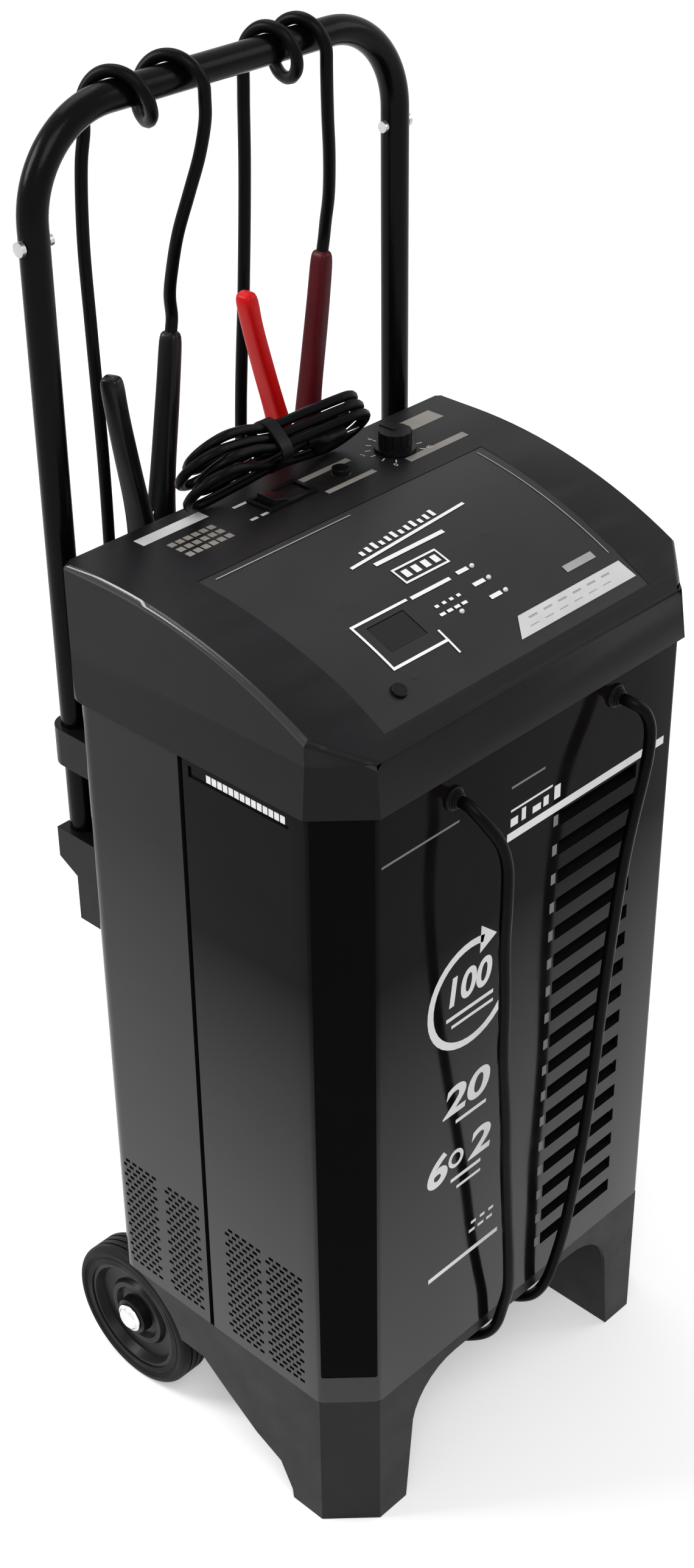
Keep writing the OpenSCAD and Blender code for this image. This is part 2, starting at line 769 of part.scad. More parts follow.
module handle_screws() {
    color("#b9b9bd") from_front() both() {
        rod_across(leg_x - tube_r - 3, leg_x + tube_r + 2.8, handle_d, screw_z, shank_r);
        rod_across(leg_x + tube_r, leg_x + tube_r + 2.8, handle_d, screw_z, 4.5);
        rod_across(leg_x - tube_r - 3, leg_x - tube_r, handle_d, screw_z, 3.6);
    }
}

module bracket_screws() {
    color("#707074") from_front() both()
        for (p = bracket_at) screw(p[0], body_d + flange_t, p[1], 3.8, flange_t + wall);
}

module housing_screws() {
    color("#707074") from_front() both()
        for (p = housing_at) screw(p[0], body_d, p[1], 3.8, wall + 2);
}

// Wheels ---------------------------------------------------------------------

module axle() {
    color("#8d8f93") from_front() rod_across(-wheel_x1 - 3, wheel_x1 + 3, hub_d, hub_z, axle_r);
}

module axle_caps() {
    color("#c9cacd") from_front() both() translate([wheel_x1 + 0.3, hub_d, hub_z]) rotate([0, 90, 0])
        difference() {
            union() {
                cylinder(h = 2, r = 11);
                cylinder(h = 4.2, r = 8.5);
            }
            translate([0, 0, -1]) cylinder(h = 3.7, r = axle_r + run_fit);
        }
}

rim_r = wheel_r - 14;

module tyre() {
    r = 5;
    color("#101011") from_front() translate([wheel_x0, hub_d, hub_z]) rotate([0, 90, 0])
        rotate_extrude($fn = 96) difference() {
            union() {
                translate([rim_r, 1]) square([wheel_r - rim_r - r, wheel_w - 2]);
                translate([rim_r, r]) square([wheel_r - rim_r, wheel_w - 2 * r]);
                for (y = [r, wheel_w - r]) translate([wheel_r - r, y]) circle(r, $fn = 32);
            }
            for (y = [8, 13.5, 19]) translate([wheel_r - 1.2, y - 0.8]) square([3, 1.6]);
            for (y = [0, wheel_w]) translate([rim_r + 6, y]) circle(1.6, $fn = 24);
        }
}

module rim() {
    hub_r = 15;
    w = wheel_w;
    color("#1c1c1e") from_front() translate([wheel_x0, hub_d, hub_z]) rotate([0, 90, 0])
        rotate_extrude($fn = 96)
            polygon([[axle_r + run_fit, -6], [hub_r, -6], [hub_r, 6], [rim_r - 7, 8], [rim_r - 4, 2],
                [rim_r, 2], [rim_r, w - 2], [rim_r - 3, w - 2], [rim_r - 6, w - 8], [28, w - 9],
                [26, w - 6], [22, w - 6], [20, w - 9], [hub_r, w - 8], [hub_r - 1, w - 1], [12, w],
                [axle_r + run_fit, w]]);
}

module tyre_left() { mirror([1, 0, 0]) tyre(); }
module tyre_right() { tyre(); }
module rim_left() { mirror([1, 0, 0]) rim(); }
module rim_right() { rim(); }

// Insides --------------------------------------------------------------------

module transformer_core() {
    win_w = (core[0] - 4 * core_leg) / 2;
    win_h = core[2] - 2 * core_leg;
    color("#6b6d70") from_front() translate([core_at[0] - core[0] / 2, core_at[1] - core[1] / 2, core_z])
        difference() {
            cube(core);
            for (x = [core_leg, core[0] - core_leg - win_w]) translate([x, -1, core_leg])
                cube([win_w, core[1] + 2, win_h]);
        }
}

module transformer_coil() {
    out = [core[0] - 2 * core_leg - 2 * coil_gap, core[1] + 2 * coil_over, core[2] - 2 * core_leg - 2 * coil_gap];
    hole = [2 * core_leg + 2 * coil_gap, core[1] + 2 * coil_gap, out[2] + 2];
    color("#a5512a") from_front() translate([core_at[0], core_at[1], core_z + core[2] / 2]) difference() {
        cube(out, center = true);
        cube(hole, center = true);
    }
}

module transformer_frame() {
    color("#85878a") from_front() translate([core_at[0], core_at[1], floor_z]) {
        translate([-core[0] / 2 - 14, -core[1] / 2, 0]) cube([core[0] + 28, core[1], frame_t]);
        for (s = [0, 1]) mirror([s, 0, 0]) translate([core[0] / 2, -core[1] / 2, 0])
            cube([3, core[1], 46]);
    }
}

module heat_sink() {
    color("#aeb0b3") from_front() translate([70, 70, floor_z]) {
        cube([4, 90, 90]);
        for (i = [0 : 8]) translate([3.9, i * 11, 0]) cube([26, 2, 90]);
    }
}

module rectifier_diodes() {
    color("#4a4a4c") from_front() for (d = [95, 135]) {
        rod_across(60, 70, d, floor_z + 55, 7);
        rod_across(54, 60.1, d, floor_z + 55, 1.5);
    }
}

module control_board() {
    d = body_d - wall - 8;
    color("#1f5a35") from_front() {
        span([board_x[0] - 5, d - board_t, board_z[0] - 5], [board_x[1] + 5, d, board_z[1] + 5]);
        span([board_x[0] + 20, d - board_t - 14, board_z[0] + 15], [board_x[0] + 44, d - board_t + 0.01, board_z[0] + 39]);
        for (x = [70, 92]) rod_back(board_x[0] + x, d - board_t - 20, d - board_t + 0.01, board_z[1] - 30, 8);
    }
}

fan_d0 = body_d - wall - fan_t;

module fan_frame() {
    s = fan_size / 2;
    color("#17171a") from_front() {
        difference() {
            span([-s, fan_d0, fan_z - s], [s, fan_d0 + fan_t, fan_z + s]);
            rod_back(0, fan_d0 - 1, fan_d0 + fan_t - 3, fan_z, s - 3);
            for (a = [0 : 60 : 300])
                rod_back(29 * cos(a), fan_d0, fan_d0 + fan_t + 1, fan_z + 29 * sin(a), 12);
        }
        rod_back(0, fan_d0 + 4, fan_d0 + fan_t - 2, fan_z, 2);
    }
}

module fan_rotor() {
    s = fan_size / 2;
    color("#202024") from_front() difference() {
        union() {
            rod_back(0, fan_d0 + 2, fan_d0 + fan_t - 4, fan_z, 17);
            intersection() {
                for (i = [0 : 6]) translate([0, fan_d0 + 11.5, fan_z]) rotate([0, i * 360 / 7, 0])
                    rotate([0, 0, 35]) translate([-11, -1, 10]) cube([22, 2, s - 12]);
                rod_back(0, fan_d0 + 3, fan_d0 + fan_t - 5, fan_z, s - 5);
            }
        }
        rod_back(0, fan_d0, fan_d0 + fan_t, fan_z, 2 + run_fit);
    }
}

// Glands ---------------------------------------------------------------------

module lead_glands() {
    color("#141415") from_front() for (p = [negative_path[0], positive_path[0]])
        translate([p[0], 0, p[2]]) rotate([90, 0, 0]) rotate_extrude()
            polygon([[0, -wall - 5], [lead_r + 2.6, -wall - 5], [lead_r + 2.6, -wall], [lead_r + 0.9, -wall],
                [lead_r + 0.9, 0], [lead_r + 4, 0], [lead_r + 4, 2], [lead_r + 1, -p[1]], [0, -p[1]]]);
}

module mains_gland() {
    color("#141415") from_front() translate([gland_at[0], body_d, gland_at[1]]) rotate([-90, 0, 0]) rotate_extrude()
        polygon([[0, -wall - 5], [7.5, -wall - 5], [7.5, -wall], [5.9, -wall], [5.9, 0], [8, 0], [8, 3],
            [6.2, 4], [mains_r + 1, gland_len], [0, gland_len]]);
}

// Leads and windings ---------------------------------------------------------

function wound(x) = concat(
    [[x[0], handle_d + wind_r, wind_z - lead_dia]],
    [for (i = [0 : wind_n]) let (a = 360 * bar_turns * i / wind_n)
        [x[0] + (x[1] - x[0]) * i / wind_n, handle_d + wind_r * cos(a), wind_z + wind_r * sin(a)]],
    [[x[1], handle_d - wind_r, wind_z - lead_dia]]);

negative_wound = wound(negative_wind_x);
positive_wound = wound(positive_wind_x);

module lead(path, wind) {
    color("#0b0b0c") from_front() tube(concat(path, [wind[0] - [0, 0, 10], wind[0]]), lead_r, 8);
}
module winding(wind) {
    color("#0b0b0c") from_front() tube(wind, lead_r, 6);
}
module drop(wind, path, pose) {
    first = wind[len(wind) - 1];
    way = clamp_way(pose);
    tip = pose[0] + clamp_len * way;
    color("#0b0b0c") from_front()
        tube(concat([first, first - [0, 0, 10]], path, [tip + lead_dia * 1.2 * way, tip]), lead_r, 8);
}

module negative_lead() { lead(negative_path, negative_wound); }
module positive_lead() { lead(positive_path, positive_wound); }
module negative_winding() { winding(negative_wound); }
module positive_winding() { winding(positive_wound); }
module negative_drop() { drop(negative_wound, negative_drop_path, negative_pose); }
module positive_drop() { drop(positive_wound, positive_drop_path, positive_pose); }

// Mains hank -----------------------------------------------------------------

// Half length of layer k on its left, where its fold is tucked in
function hank_left(k) = hank_half - hank_tuck[k];
// Half height of the hank at a distance x from its middle, beside the left fold of layer k
function hank_height(x, k) = hank_fold
    - (hank_fold - hank_waist) * pow(cos(90 * x / (x < 0 ? hank_left(k) : hank_half)), 2);
function hank_point(x, d, h) = [hank_x + x,
    hank_mid + (d - hank_mid) * cos(hank_lean) - h * sin(hank_lean),
    hank_z + (d - hank_mid) * sin(hank_lean) + h * cos(hank_lean)];
function hank_bend(x, d, a0) = [for (i = [0 : 7]) let (a = a0 + 180 * i / 8)
    hank_point(x + hank_fold * cos(a), d, hank_fold * sin(a))];

// One loop that starts at the left fold's top in layer k and climbs along its upper run
function hank_loop(k) = let (d = hank_d + k * hank_step, left = hank_left(k), next = hank_left(k + 1)) concat(
    hank_bend(-left, d, 90),
    [for (x = [-left, -left / 2, 0, hank_half / 2]) hank_point(x, d, -hank_height(x, k))],
    hank_bend(hank_half, d, -90),
    [for (i = [0 : 3]) let (x = [hank_half, hank_half / 2, 0, -next / 2][i])
        hank_point(x, d + hank_step * i / 3, hank_height(x, k + 1))]);

// From the plug in the right eye, through the waist, to the first fold
plug_tail = plug_x - hank_x;
hank_start = concat(
    [hank_point(plug_tail, plug_d, 0), hank_point(plug_tail - mains_dia, plug_d, 0)],
    [for (t = [0.25, 0.5, 0.75]) hank_point(plug_tail - mains_dia - 22 * t, plug_d + (hank_d - plug_d) * ease(t), 0)],
    [for (t = [0.1, 0.25, 0.4, 0.55, 0.7, 0.85]) hank_point(-4 - (hank_half - 4) * t, hank_d, hank_fold * ease(t))]);

// The last half loop, which leaves the lower run for the back of the lid
hank_last = hank_d + hank_turns * hank_step;
hank_foot = hank_point(-hank_left(hank_turns), hank_last, -hank_fold);
hank_end = concat(hank_bend(-hank_left(hank_turns), hank_last, 90), [hank_foot],
    [for (p = [[-30, 0.5, 0], [-16, 2.2, -1.6], [-4, 6, -6.5], [3.5, 12, -15.5], [5.5, 15.9, -22.8]])
        [p[0], hank_foot[1] + p[1], hank_foot[2] + p[2]]]);

hank_path = concat(hank_start, [for (k = [0 : hank_turns - 1]) each hank_loop(k)], hank_end);
echo(hank_gap = self_gap(hank_path, mains_dia), winding_gap = self_gap(negative_wound, lead_dia));

module hank_leaned() {
    translate([0, hank_mid, hank_z]) rotate([hank_lean, 0, 0]) translate([0, -hank_mid, -hank_z]) children();
}

module mains_hank() {
    color("#0b0b0c") from_front() tube(hank_path, mains_r, 6);
}

module mains_lead() {
    last = hank_path[len(hank_path) - 1];
    way = unit(last - hank_path[len(hank_path) - 2]);
    tip = [gland_at[0], body_d + gland_len, gland_at[1]];
    color("#0b0b0c") from_front()
        tube(concat([last, last + mains_dia * way], mains_path, [tip + [0, 8, 0], tip]), mains_r, 8);
}

module hank_tie() {
    t = 1.2;
    half = hank_waist + mains_r + 1.3;
    a = [hank_x - 5, hank_d - mains_r - 0.5, hank_z - half];
    b = [hank_x + 5, hank_last + mains_r + 0.5, hank_z + half];
    color("#1d1d1f") from_front() hank_leaned() difference() {
        span(a - [0, t, t], b + [0, t, t]);
        span(a - [1, 0, 0], b + [1, 0, 0]);
    }
}

module mains_plug() {
    color("#0f0f10") from_front() hank_leaned() translate([plug_x, plug_d, hank_z]) {
        translate([0, -4, -4]) cube([plug_neck + 0.1, 8, 8]);
        translate([plug_neck, -plug_size[1] / 2, -plug_size[2] / 2])
            cube([plug_size[0] - plug_neck, plug_size[1], plug_size[2]]);
        for (s = [-1, 1]) translate([plug_size[0] - 0.1, s * 6 - 0.8, -3.2]) cube([16, 1.6, 6.4]);
    }
}

// Clamps ---------------------------------------------------------------------

// Direction from a clamp's pivot to the end of its cable handle
function clamp_way(pose) = let (a = clamp_spread + pose[2]) spin([sin(a), 0, cos(a)], pose[1]);

module posed(pose) {
    from_front() translate(pose[0]) rotate([0, 0, pose[1]]) rotate([0, pose[2], 0]) children();
}

// Outline of the right half: handle above the pivot, jaw below it
module clamp_outline() {
    up = [sin(clamp_spread), cos(clamp_spread)];
    out = [cos(clamp_spread), -sin(clamp_spread)];
    polygon([[4, 11], clamp_len * up - 7.5 * out, clamp_len * up + 6 * out, 75 * up + 7.5 * out,
        25 * up + 10 * out, [17.5, 0], [18.5, -27], [14, -52], [4, -65], [0.4, -65], [0.4, -48], [6, -38],
        [0.4, -28], [0.4, -15], [4, -11]]);
}

module clamp_blank() {
    along(-clamp_w / 2, clamp_w / 2) clamp_outline();
}

module clamp_half(pose) {
    posed(pose) difference() {
        union() {
            difference() {
                clamp_blank();
                rod_back(0, -clamp_cheek, clamp_cheek, 0, clamp_ear_r + 1);
            }
            for (s = [0, 1]) mirror([0, s, 0]) rod_back(0, clamp_cheek, clamp_w / 2, 0, clamp_ear_r);
        }
        rod_back(0, -20, 20, 0, clamp_pin_r + run_fit);
    }
}

module clamp_jaw(pose) {
    posed(pose) difference() {
        union() {
            difference() {
                mirror([1, 0, 0]) clamp_blank();
                rod_back(0, -20, 20, 0, clamp_ear_r + 1);
            }
            for (s = [0, 1]) mirror([0, s, 0]) {
                rod_back(0, clamp_lug, clamp_cheek - slip, 0, clamp_ear_r);
                span([-clamp_ear_r - 3, clamp_lug, -7.5], [-5, clamp_cheek - slip, 7.5]);
            }
        }
        rod_back(0, -20, 20, 0, clamp_pin_r + run_fit);
    }
}

module clamp_pin(pose) {
    posed(pose) {
        rod_back(0, -clamp_w / 2 - 0.3, clamp_w / 2 + 0.3, 0, clamp_pin_r);
        for (s = [0, 1]) mirror([0, s, 0]) rod_back(0, clamp_w / 2 + 0.2, clamp_w / 2 + 1.7, 0, 5);
    }
}

module clamp_spring(pose) {
    posed(pose) difference() {
        rod_back(0, -clamp_lug + slip, clamp_lug - slip, 0, 7);
        rod_back(0, -clamp_lug - 1, clamp_lug + 1, 0, clamp_pin_r + 0.4);
    }
}

module negative_clamp_half() { color("#121213") clamp_half(negative_pose); }
module negative_clamp_jaw() { color("#121213") clamp_jaw(negative_pose); }
module negative_clamp_pin() { color("#9a9a9d") clamp_pin(negative_pose); }
module negative_clamp_spring() { color("#77777a") clamp_spring(negative_pose); }
module positive_clamp_half() { color("#8c1218") clamp_half(positive_pose); }
module positive_clamp_jaw() { color("#cf1414") clamp_jaw(positive_pose); }
module positive_clamp_pin() { color("#9a9a9d") clamp_pin(positive_pose); }
module positive_clamp_spring() { color("#77777a") clamp_spring(positive_pose); }

base_tray();
front_housing();
rear_housing();
corner_insert_left();
corner_insert_right();
lid_housing();
console_panel();
display_window();
display_board();
status_lamps();
select_button();
rocker_frame();
rocker_switch();
breaker_body();
breaker_button();
selector_body();
selector_knob();
handle_grip();
handle_leg_left();
handle_leg_right();
handle_saddles();
handle_sockets();
handle_screws();
bracket_screws();
housing_screws();
axle();
axle_caps();
tyre_left();
tyre_right();
rim_left();
rim_right();
transformer_core();
transformer_coil();
transformer_frame();
heat_sink();
rectifier_diodes();
control_board();
fan_frame();
fan_rotor();
lead_glands();
mains_gland();
negative_lead();
negative_winding();
negative_drop();
positive_lead();
positive_winding();
positive_drop();
mains_lead();
mains_hank();
hank_tie();
mains_plug();
negative_clamp_half();
negative_clamp_jaw();
negative_clamp_pin();
negative_clamp_spring();
positive_clamp_half();
positive_clamp_jaw();
positive_clamp_pin();
positive_clamp_spring();
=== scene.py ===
"""Looks of the wheeled car battery charger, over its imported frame. Lengths are in mm unless a line says otherwise."""
import json
import math

import bmesh
import bpy
from mathutils import Matrix, Vector


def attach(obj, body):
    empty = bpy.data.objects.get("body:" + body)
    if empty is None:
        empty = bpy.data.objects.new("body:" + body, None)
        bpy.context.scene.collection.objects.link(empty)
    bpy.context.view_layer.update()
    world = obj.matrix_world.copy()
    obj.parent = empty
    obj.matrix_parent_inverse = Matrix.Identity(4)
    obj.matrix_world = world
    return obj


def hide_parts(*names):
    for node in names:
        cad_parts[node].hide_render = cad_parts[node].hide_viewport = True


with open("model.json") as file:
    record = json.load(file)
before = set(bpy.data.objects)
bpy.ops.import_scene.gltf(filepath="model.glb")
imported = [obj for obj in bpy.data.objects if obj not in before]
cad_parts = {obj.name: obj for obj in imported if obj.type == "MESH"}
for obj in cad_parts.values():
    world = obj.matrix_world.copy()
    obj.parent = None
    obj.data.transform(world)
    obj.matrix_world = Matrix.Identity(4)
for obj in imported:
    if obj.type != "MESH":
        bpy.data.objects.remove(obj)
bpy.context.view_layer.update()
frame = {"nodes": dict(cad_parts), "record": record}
nodes = frame["nodes"]
scene = bpy.context.scene

# Sizes that the looks share with the frame; d is the depth behind the front panel, and MM turns mm into metres
MM = 0.001
FRONT = -141
HALF, DEEP, CORNER, BACK_R, WALL = 170, 230, 29, 12, 3
PANEL_Z, LAP_Z, SEAM_D, SEAM_GAP = 118, 606, 134, 4
LID_FRONT_Z, LID_TOP_Z = 630, 687
CROWN_D, CROWN_H = 196, 57
CROWN_R = (CROWN_D ** 2 + CROWN_H ** 2) / (2 * CROWN_H)
CROWN_Z = LID_TOP_Z - CROWN_R
HANDLE_D, BAR_Z, TUBE_R = 255, 942, 9.25
LEAD, MAINS = 8, 6.5
HUB_D, HUB_Z, WHEEL_X1 = 228, 58, 168
# Neighbouring points of a CAD mesh closer than this, in metres, are one point
MERGE = 2e-6


def P(x, d, z):
    """The scene's point, in metres, for a place on the charger."""
    return Vector((x * MM, (d + FRONT) * MM, z * MM))


# ---- Camera ----

CAMERA_TURN, CAMERA_RISE, CAMERA_ROLL = -46.0, 33.0, -0.7
CAMERA_AT = (-0.9402, -0.8889, 1.3287)
FOCAL, PICTURE_HEIGHT, SENSOR = 3818, 2576, 36


def make_camera():
    a, e, r = (math.radians(v) for v in (CAMERA_TURN, CAMERA_RISE, CAMERA_ROLL))
    back = Vector((math.sin(a) * math.cos(e), -math.cos(a) * math.cos(e), math.sin(e)))
    right = Vector((math.cos(a), math.sin(a), 0))
    up = back.cross(right)
    right, up = right * math.cos(r) + up * math.sin(r), up * math.cos(r) - right * math.sin(r)
    data = bpy.data.cameras.new("camera")
    data.sensor_fit = "VERTICAL"
    data.sensor_height = SENSOR
    data.lens = FOCAL * SENSOR / PICTURE_HEIGHT
    camera = bpy.data.objects.new("camera", data)
    turn = Matrix((right, up, back)).transposed().to_4x4()
    camera.matrix_world = Matrix.Translation(CAMERA_AT) @ turn
    scene.collection.objects.link(camera)
    scene.camera = camera


make_camera()


# ---- Materials ----

def shader(name, colour, rough, metal=0.0, level=0.5, coat=0.0):
    m = bpy.data.materials.new(name)
    m.use_nodes = True
    p = m.node_tree.nodes["Principled BSDF"]
    p.inputs["Base Color"].default_value = (*colour, 1)
    p.inputs["Roughness"].default_value = rough
    p.inputs["Metallic"].default_value = metal
    p.inputs["Specular IOR Level"].default_value = level
    p.inputs["Coat Weight"].default_value = coat
    p.inputs["Coat Roughness"].default_value = 0.1
    return m, m.node_tree, p


def add(tree, kind, **inputs):
    """A shader node with its sockets set; an underscore stands for a space."""
    n = tree.nodes.new("ShaderNode" + kind)
    for k, v in inputs.items():
        n.inputs[k.replace("_", " ")].default_value = v
    return n


def local(tree):
    return tree.nodes.new("ShaderNodeTexCoord").outputs["Object"]


def noise(tree, scale, detail, stretch=(1, 1, 1)):
    out = local(tree)
    if stretch != (1, 1, 1):
        m = add(tree, "Mapping", Scale=stretch)
        tree.links.new(out, m.inputs["Vector"])
        out = m.outputs["Vector"]
    n = add(tree, "TexNoise", Scale=scale, Detail=detail, Roughness=0.55)
    tree.links.new(out, n.inputs["Vector"])
    return n.outputs["Fac"]


def between(tree, fac, low, high, lo=0.3, hi=0.7):
    """low to high while fac goes from lo to hi."""
    n = add(tree, "MapRange", From_Min=lo, From_Max=hi, To_Min=low, To_Max=high)
    tree.links.new(fac, n.inputs["Value"])
    return n.outputs["Result"]


def mixed(tree, p, first, second, fac):
    """Base colour that goes from first to second with fac."""
    mix = tree.nodes.new("ShaderNodeMix")
    mix.data_type = "RGBA"
    mix.inputs["A"].default_value = (*first, 1)
    mix.inputs["B"].default_value = (*second, 1)
    tree.links.new(fac, mix.inputs["Factor"])
    tree.links.new(mix.outputs["Result"], p.inputs["Base Color"])


def tinted(tree, p, colour, fac, spread):
    """Colour that wanders round its own value by spread."""
    dark = [c * (1 - spread) for c in colour]
    light = [min(1, c * (1 + spread)) for c in colour]
    mixed(tree, p, dark, light, between(tree, fac, 0, 1))


def bump(tree, p, height, strength, depth):
    b = add(tree, "Bump", Strength=strength, Distance=depth * MM)
    tree.links.new(height, b.inputs["Height"])
    tree.links.new(b.outputs["Normal"], p.inputs["Normal"])


def plastic(name, colour, rough, grain=0.0, size=900, smudge=0.05, spread=0.15, level=0.5):
    """Moulded plastic: texture of grain mm deep, faint flow in its colour, and uneven gloss."""
    m, t, p = shader(name, colour, rough, level=level)
    tinted(t, p, colour, noise(t, 14, 4), spread)
    t.links.new(between(t, noise(t, 38, 5), rough - smudge, rough + smudge), p.inputs["Roughness"])
    bump(t, p, noise(t, size, 2), 1.0 if grain else 0.25, grain or 0.02)
    return m


def combined(tree, operation, first, second):
    n = tree.nodes.new("ShaderNodeMath")
    n.operation = operation
    tree.links.new(first, n.inputs[0])
    tree.links.new(second, n.inputs[1])
    return n.outputs[0]


def painted_reflection_by_height(m, low, high, z0, z1):
    """Gloss that goes from low at height z0 to high at z1: a painted reflection, brighter where the gloss is higher."""
    t = m.node_tree
    split = add(t, "SeparateXYZ")
    t.links.new(local(t), split.inputs["Vector"])
    level = between(t, split.outputs["Z"], low, high, z0 * MM, z1 * MM)
    t.links.new(level, t.nodes["Principled BSDF"].inputs["Specular IOR Level"])
    return m


def painted_edge_highlight(m, low, high, rough):
    """Stronger, sharper gloss where the surface leans by about 45 degrees: a painted highlight along the cut edges of
    the crown.
    """
    t = m.node_tree
    p = t.nodes["Principled BSDF"]
    split = add(t, "SeparateXYZ")
    t.links.new(t.nodes.new("ShaderNodeNewGeometry").outputs["True Normal"], split.inputs["Vector"])
    z = split.outputs["Z"]
    edge = combined(t, "MULTIPLY", between(t, z, 1, 0, 0.78, 0.84), between(t, z, 0, 1, 0.5, 0.6))
    t.links.new(between(t, edge, low, high, 0, 1), p.inputs["Specular IOR Level"])
    t.links.new(between(t, edge, p.inputs["Roughness"].default_value, rough, 0, 1), p.inputs["Roughness"])
    return m


def metal(name, colour, rough, scratch=(1, 1, 1)):
    """Bare metal with fine lines, drawn out along the axis where scratch is small."""
    m, t, p = shader(name, colour, rough, metal=1.0)
    tinted(t, p, colour, noise(t, 60, 5), 0.12)
    lines = noise(t, 700, 2, stretch=scratch)
    t.links.new(between(t, lines, rough * 0.75, rough * 1.3), p.inputs["Roughness"])
    bump(t, p, lines, 0.4, 0.01)
    return m


def striped(name, colour, dark, rough, scale, direction, metallic):
    """Stack or winding: fine lines across the given direction."""
    m, t, p = shader(name, colour, rough, metal=metallic)
    w = add(t, "TexWave", Scale=scale, Distortion=0.6, Detail=1.0)
    w.bands_direction = direction
    t.links.new(local(t), w.inputs["Vector"])
    mixed(t, p, dark, colour, between(t, w.outputs["Fac"], 0, 1, 0.1, 0.6))
    bump(t, p, w.outputs["Fac"], 0.7, 0.15)
    return m


def circuit(name):
    """Green board with the edges of its tracks a little lighter."""
    m, t, p = shader(name, (0.02, 0.11, 0.045), 0.4, coat=0.3)
    v = add(t, "TexVoronoi", Scale=150.0)
    v.distance = "MANHATTAN"
    v.feature = "DISTANCE_TO_EDGE"
    t.links.new(local(t), v.inputs["Vector"])
    mixed(t, p, (0.05, 0.2, 0.08), (0.018, 0.1, 0.04), between(t, v.outputs["Distance"], 0, 1, 0.03, 0.06))
    bump(t, p, v.outputs["Distance"], 0.3, 0.03)
    return m


M = {
    # housings: gloss strongest near the foot and fading upward, a painted reflection of the floor in the lower panels
    "housing": painted_reflection_by_height(plastic("housing_gloss", (0.0048, 0.004, 0.0045), 0.1, smudge=0.03, spread=0.2, size=260),
                      0.42, 0.03, 120, 470),
    "housing_rear": painted_reflection_by_height(plastic("housing_rear_gloss", (0.0075, 0.0066, 0.0072), 0.12, smudge=0.03, spread=0.2,
                                   size=260), 0.36, 0.1, 120, 520),
    "insert": plastic("insert_gloss", (0.0015, 0.0015, 0.0018), 0.14, smudge=0.03, level=0.02, size=300),
    "base": plastic("base_satin", (0.008, 0.0075, 0.0085), 0.4, grain=0.035, size=1500, smudge=0.07, level=0.16),
    # lid: grained plastic with a painted highlight, as stronger and sharper gloss, on its 45-degree cut edges
    "lid": painted_edge_highlight(plastic("lid_grain", (0.0075, 0.0068, 0.0078), 0.36, grain=0.05, size=1700, smudge=0.06),
                       0.1, 0.5, 0.2),
    "console": plastic("console_satin", (0.0115, 0.0113, 0.0125), 0.32, grain=0.02, size=2400, smudge=0.04,
                       level=0.22),
    "window": plastic("window_lens", (0.002, 0.002, 0.003), 0.06, smudge=0.02, level=0.25),
    "board": circuit("circuit_board"),
    "lamp": plastic("lamp_clear", (0.62, 0.6, 0.55), 0.2, spread=0.05),
    "control": plastic("control_satin", (0.004, 0.004, 0.0045), 0.3, grain=0.02, size=2000, level=0.12),
    "tube": plastic("tube_coat", (0.0015, 0.0015, 0.0017), 0.22, grain=0.06, size=420, level=0.07),
    "bracket": plastic("bracket_satin", (0.003, 0.003, 0.0033), 0.36, grain=0.03, size=1500, level=0.1),
    "screw": metal("screw_zinc", (0.55, 0.55, 0.56), 0.35),
    "steel": metal("axle_steel", (0.45, 0.45, 0.47), 0.3, scratch=(0.1, 1, 1)),
    "cap": metal("cap_polished", (0.78, 0.78, 0.79), 0.16),
    "tyre": plastic("tyre_rubber", (0.0045, 0.0045, 0.0048), 0.62, grain=0.05, smudge=0.1, spread=0.3, level=0.15),
    "rim": plastic("rim_satin", (0.004, 0.004, 0.0044), 0.36, grain=0.02, size=1200, level=0.14),
    "core": striped("core_stack", (0.2, 0.2, 0.21), (0.05, 0.05, 0.055), 0.45, 300, "Y", 0.6),
    "coil": striped("coil_copper", (0.55, 0.2, 0.08), (0.2, 0.06, 0.02), 0.3, 110, "Z", 0.8),
    "frame": metal("frame_plated", (0.36, 0.36, 0.37), 0.38),
    "sink": metal("sink_aluminium", (0.55, 0.56, 0.58), 0.4, scratch=(1, 1, 0.1)),
    "cord": plastic("cord_jacket", (0.0014, 0.0014, 0.0016), 0.36, grain=0.02, size=700, smudge=0.08, level=0.06),
    "plug": plastic("plug_moulded", (0.0025, 0.0025, 0.0028), 0.42, grain=0.03, size=1300, level=0.1),
    "clamp_black": plastic("clamp_black", (0.003, 0.003, 0.0032), 0.3, grain=0.02, size=1200, level=0.14),
    "clamp_red": plastic("clamp_red", (0.47, 0.004, 0.005), 0.34, grain=0.02, size=1200, spread=0.1, level=0.12),
    "clamp_dark_red": plastic("clamp_dark_red", (0.05, 0.0025, 0.005), 0.34, grain=0.02, size=1200, level=0.1),
    "print": plastic("white_print", (0.72, 0.72, 0.72), 0.5, spread=0.08),
    "grey_print": plastic("grey_print", (0.26, 0.26, 0.265), 0.5, spread=0.2),
    "faint_print": plastic("faint_print", (0.13, 0.13, 0.135), 0.5, spread=0.2),
    "label": plastic("label_print", (0.5, 0.49, 0.5), 0.5),
    "plate": plastic("plate_print", (0.2, 0.185, 0.165), 0.45, spread=0.25),
    "coil_bare": metal("jaw_copper", (0.62, 0.3, 0.16), 0.38),
}

for record in frame["record"]["subparts"]:
    for slot in nodes[record["node"]].material_slots:
        slot.material = M[record["material_slot"]]


# ---- Pieces ----

def place(piece, slot, stands_for=(), body="charger", kind=None):
    """Links a piece, gives it the slot's material and lets it ride."""
    if piece.name not in scene.collection.objects:
        scene.collection.objects.link(piece)
    if not piece.data.materials:
        piece.data.materials.append(M[kind or slot])
    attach(piece, body)
    if stands_for:
        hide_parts(*stands_for)
    return piece


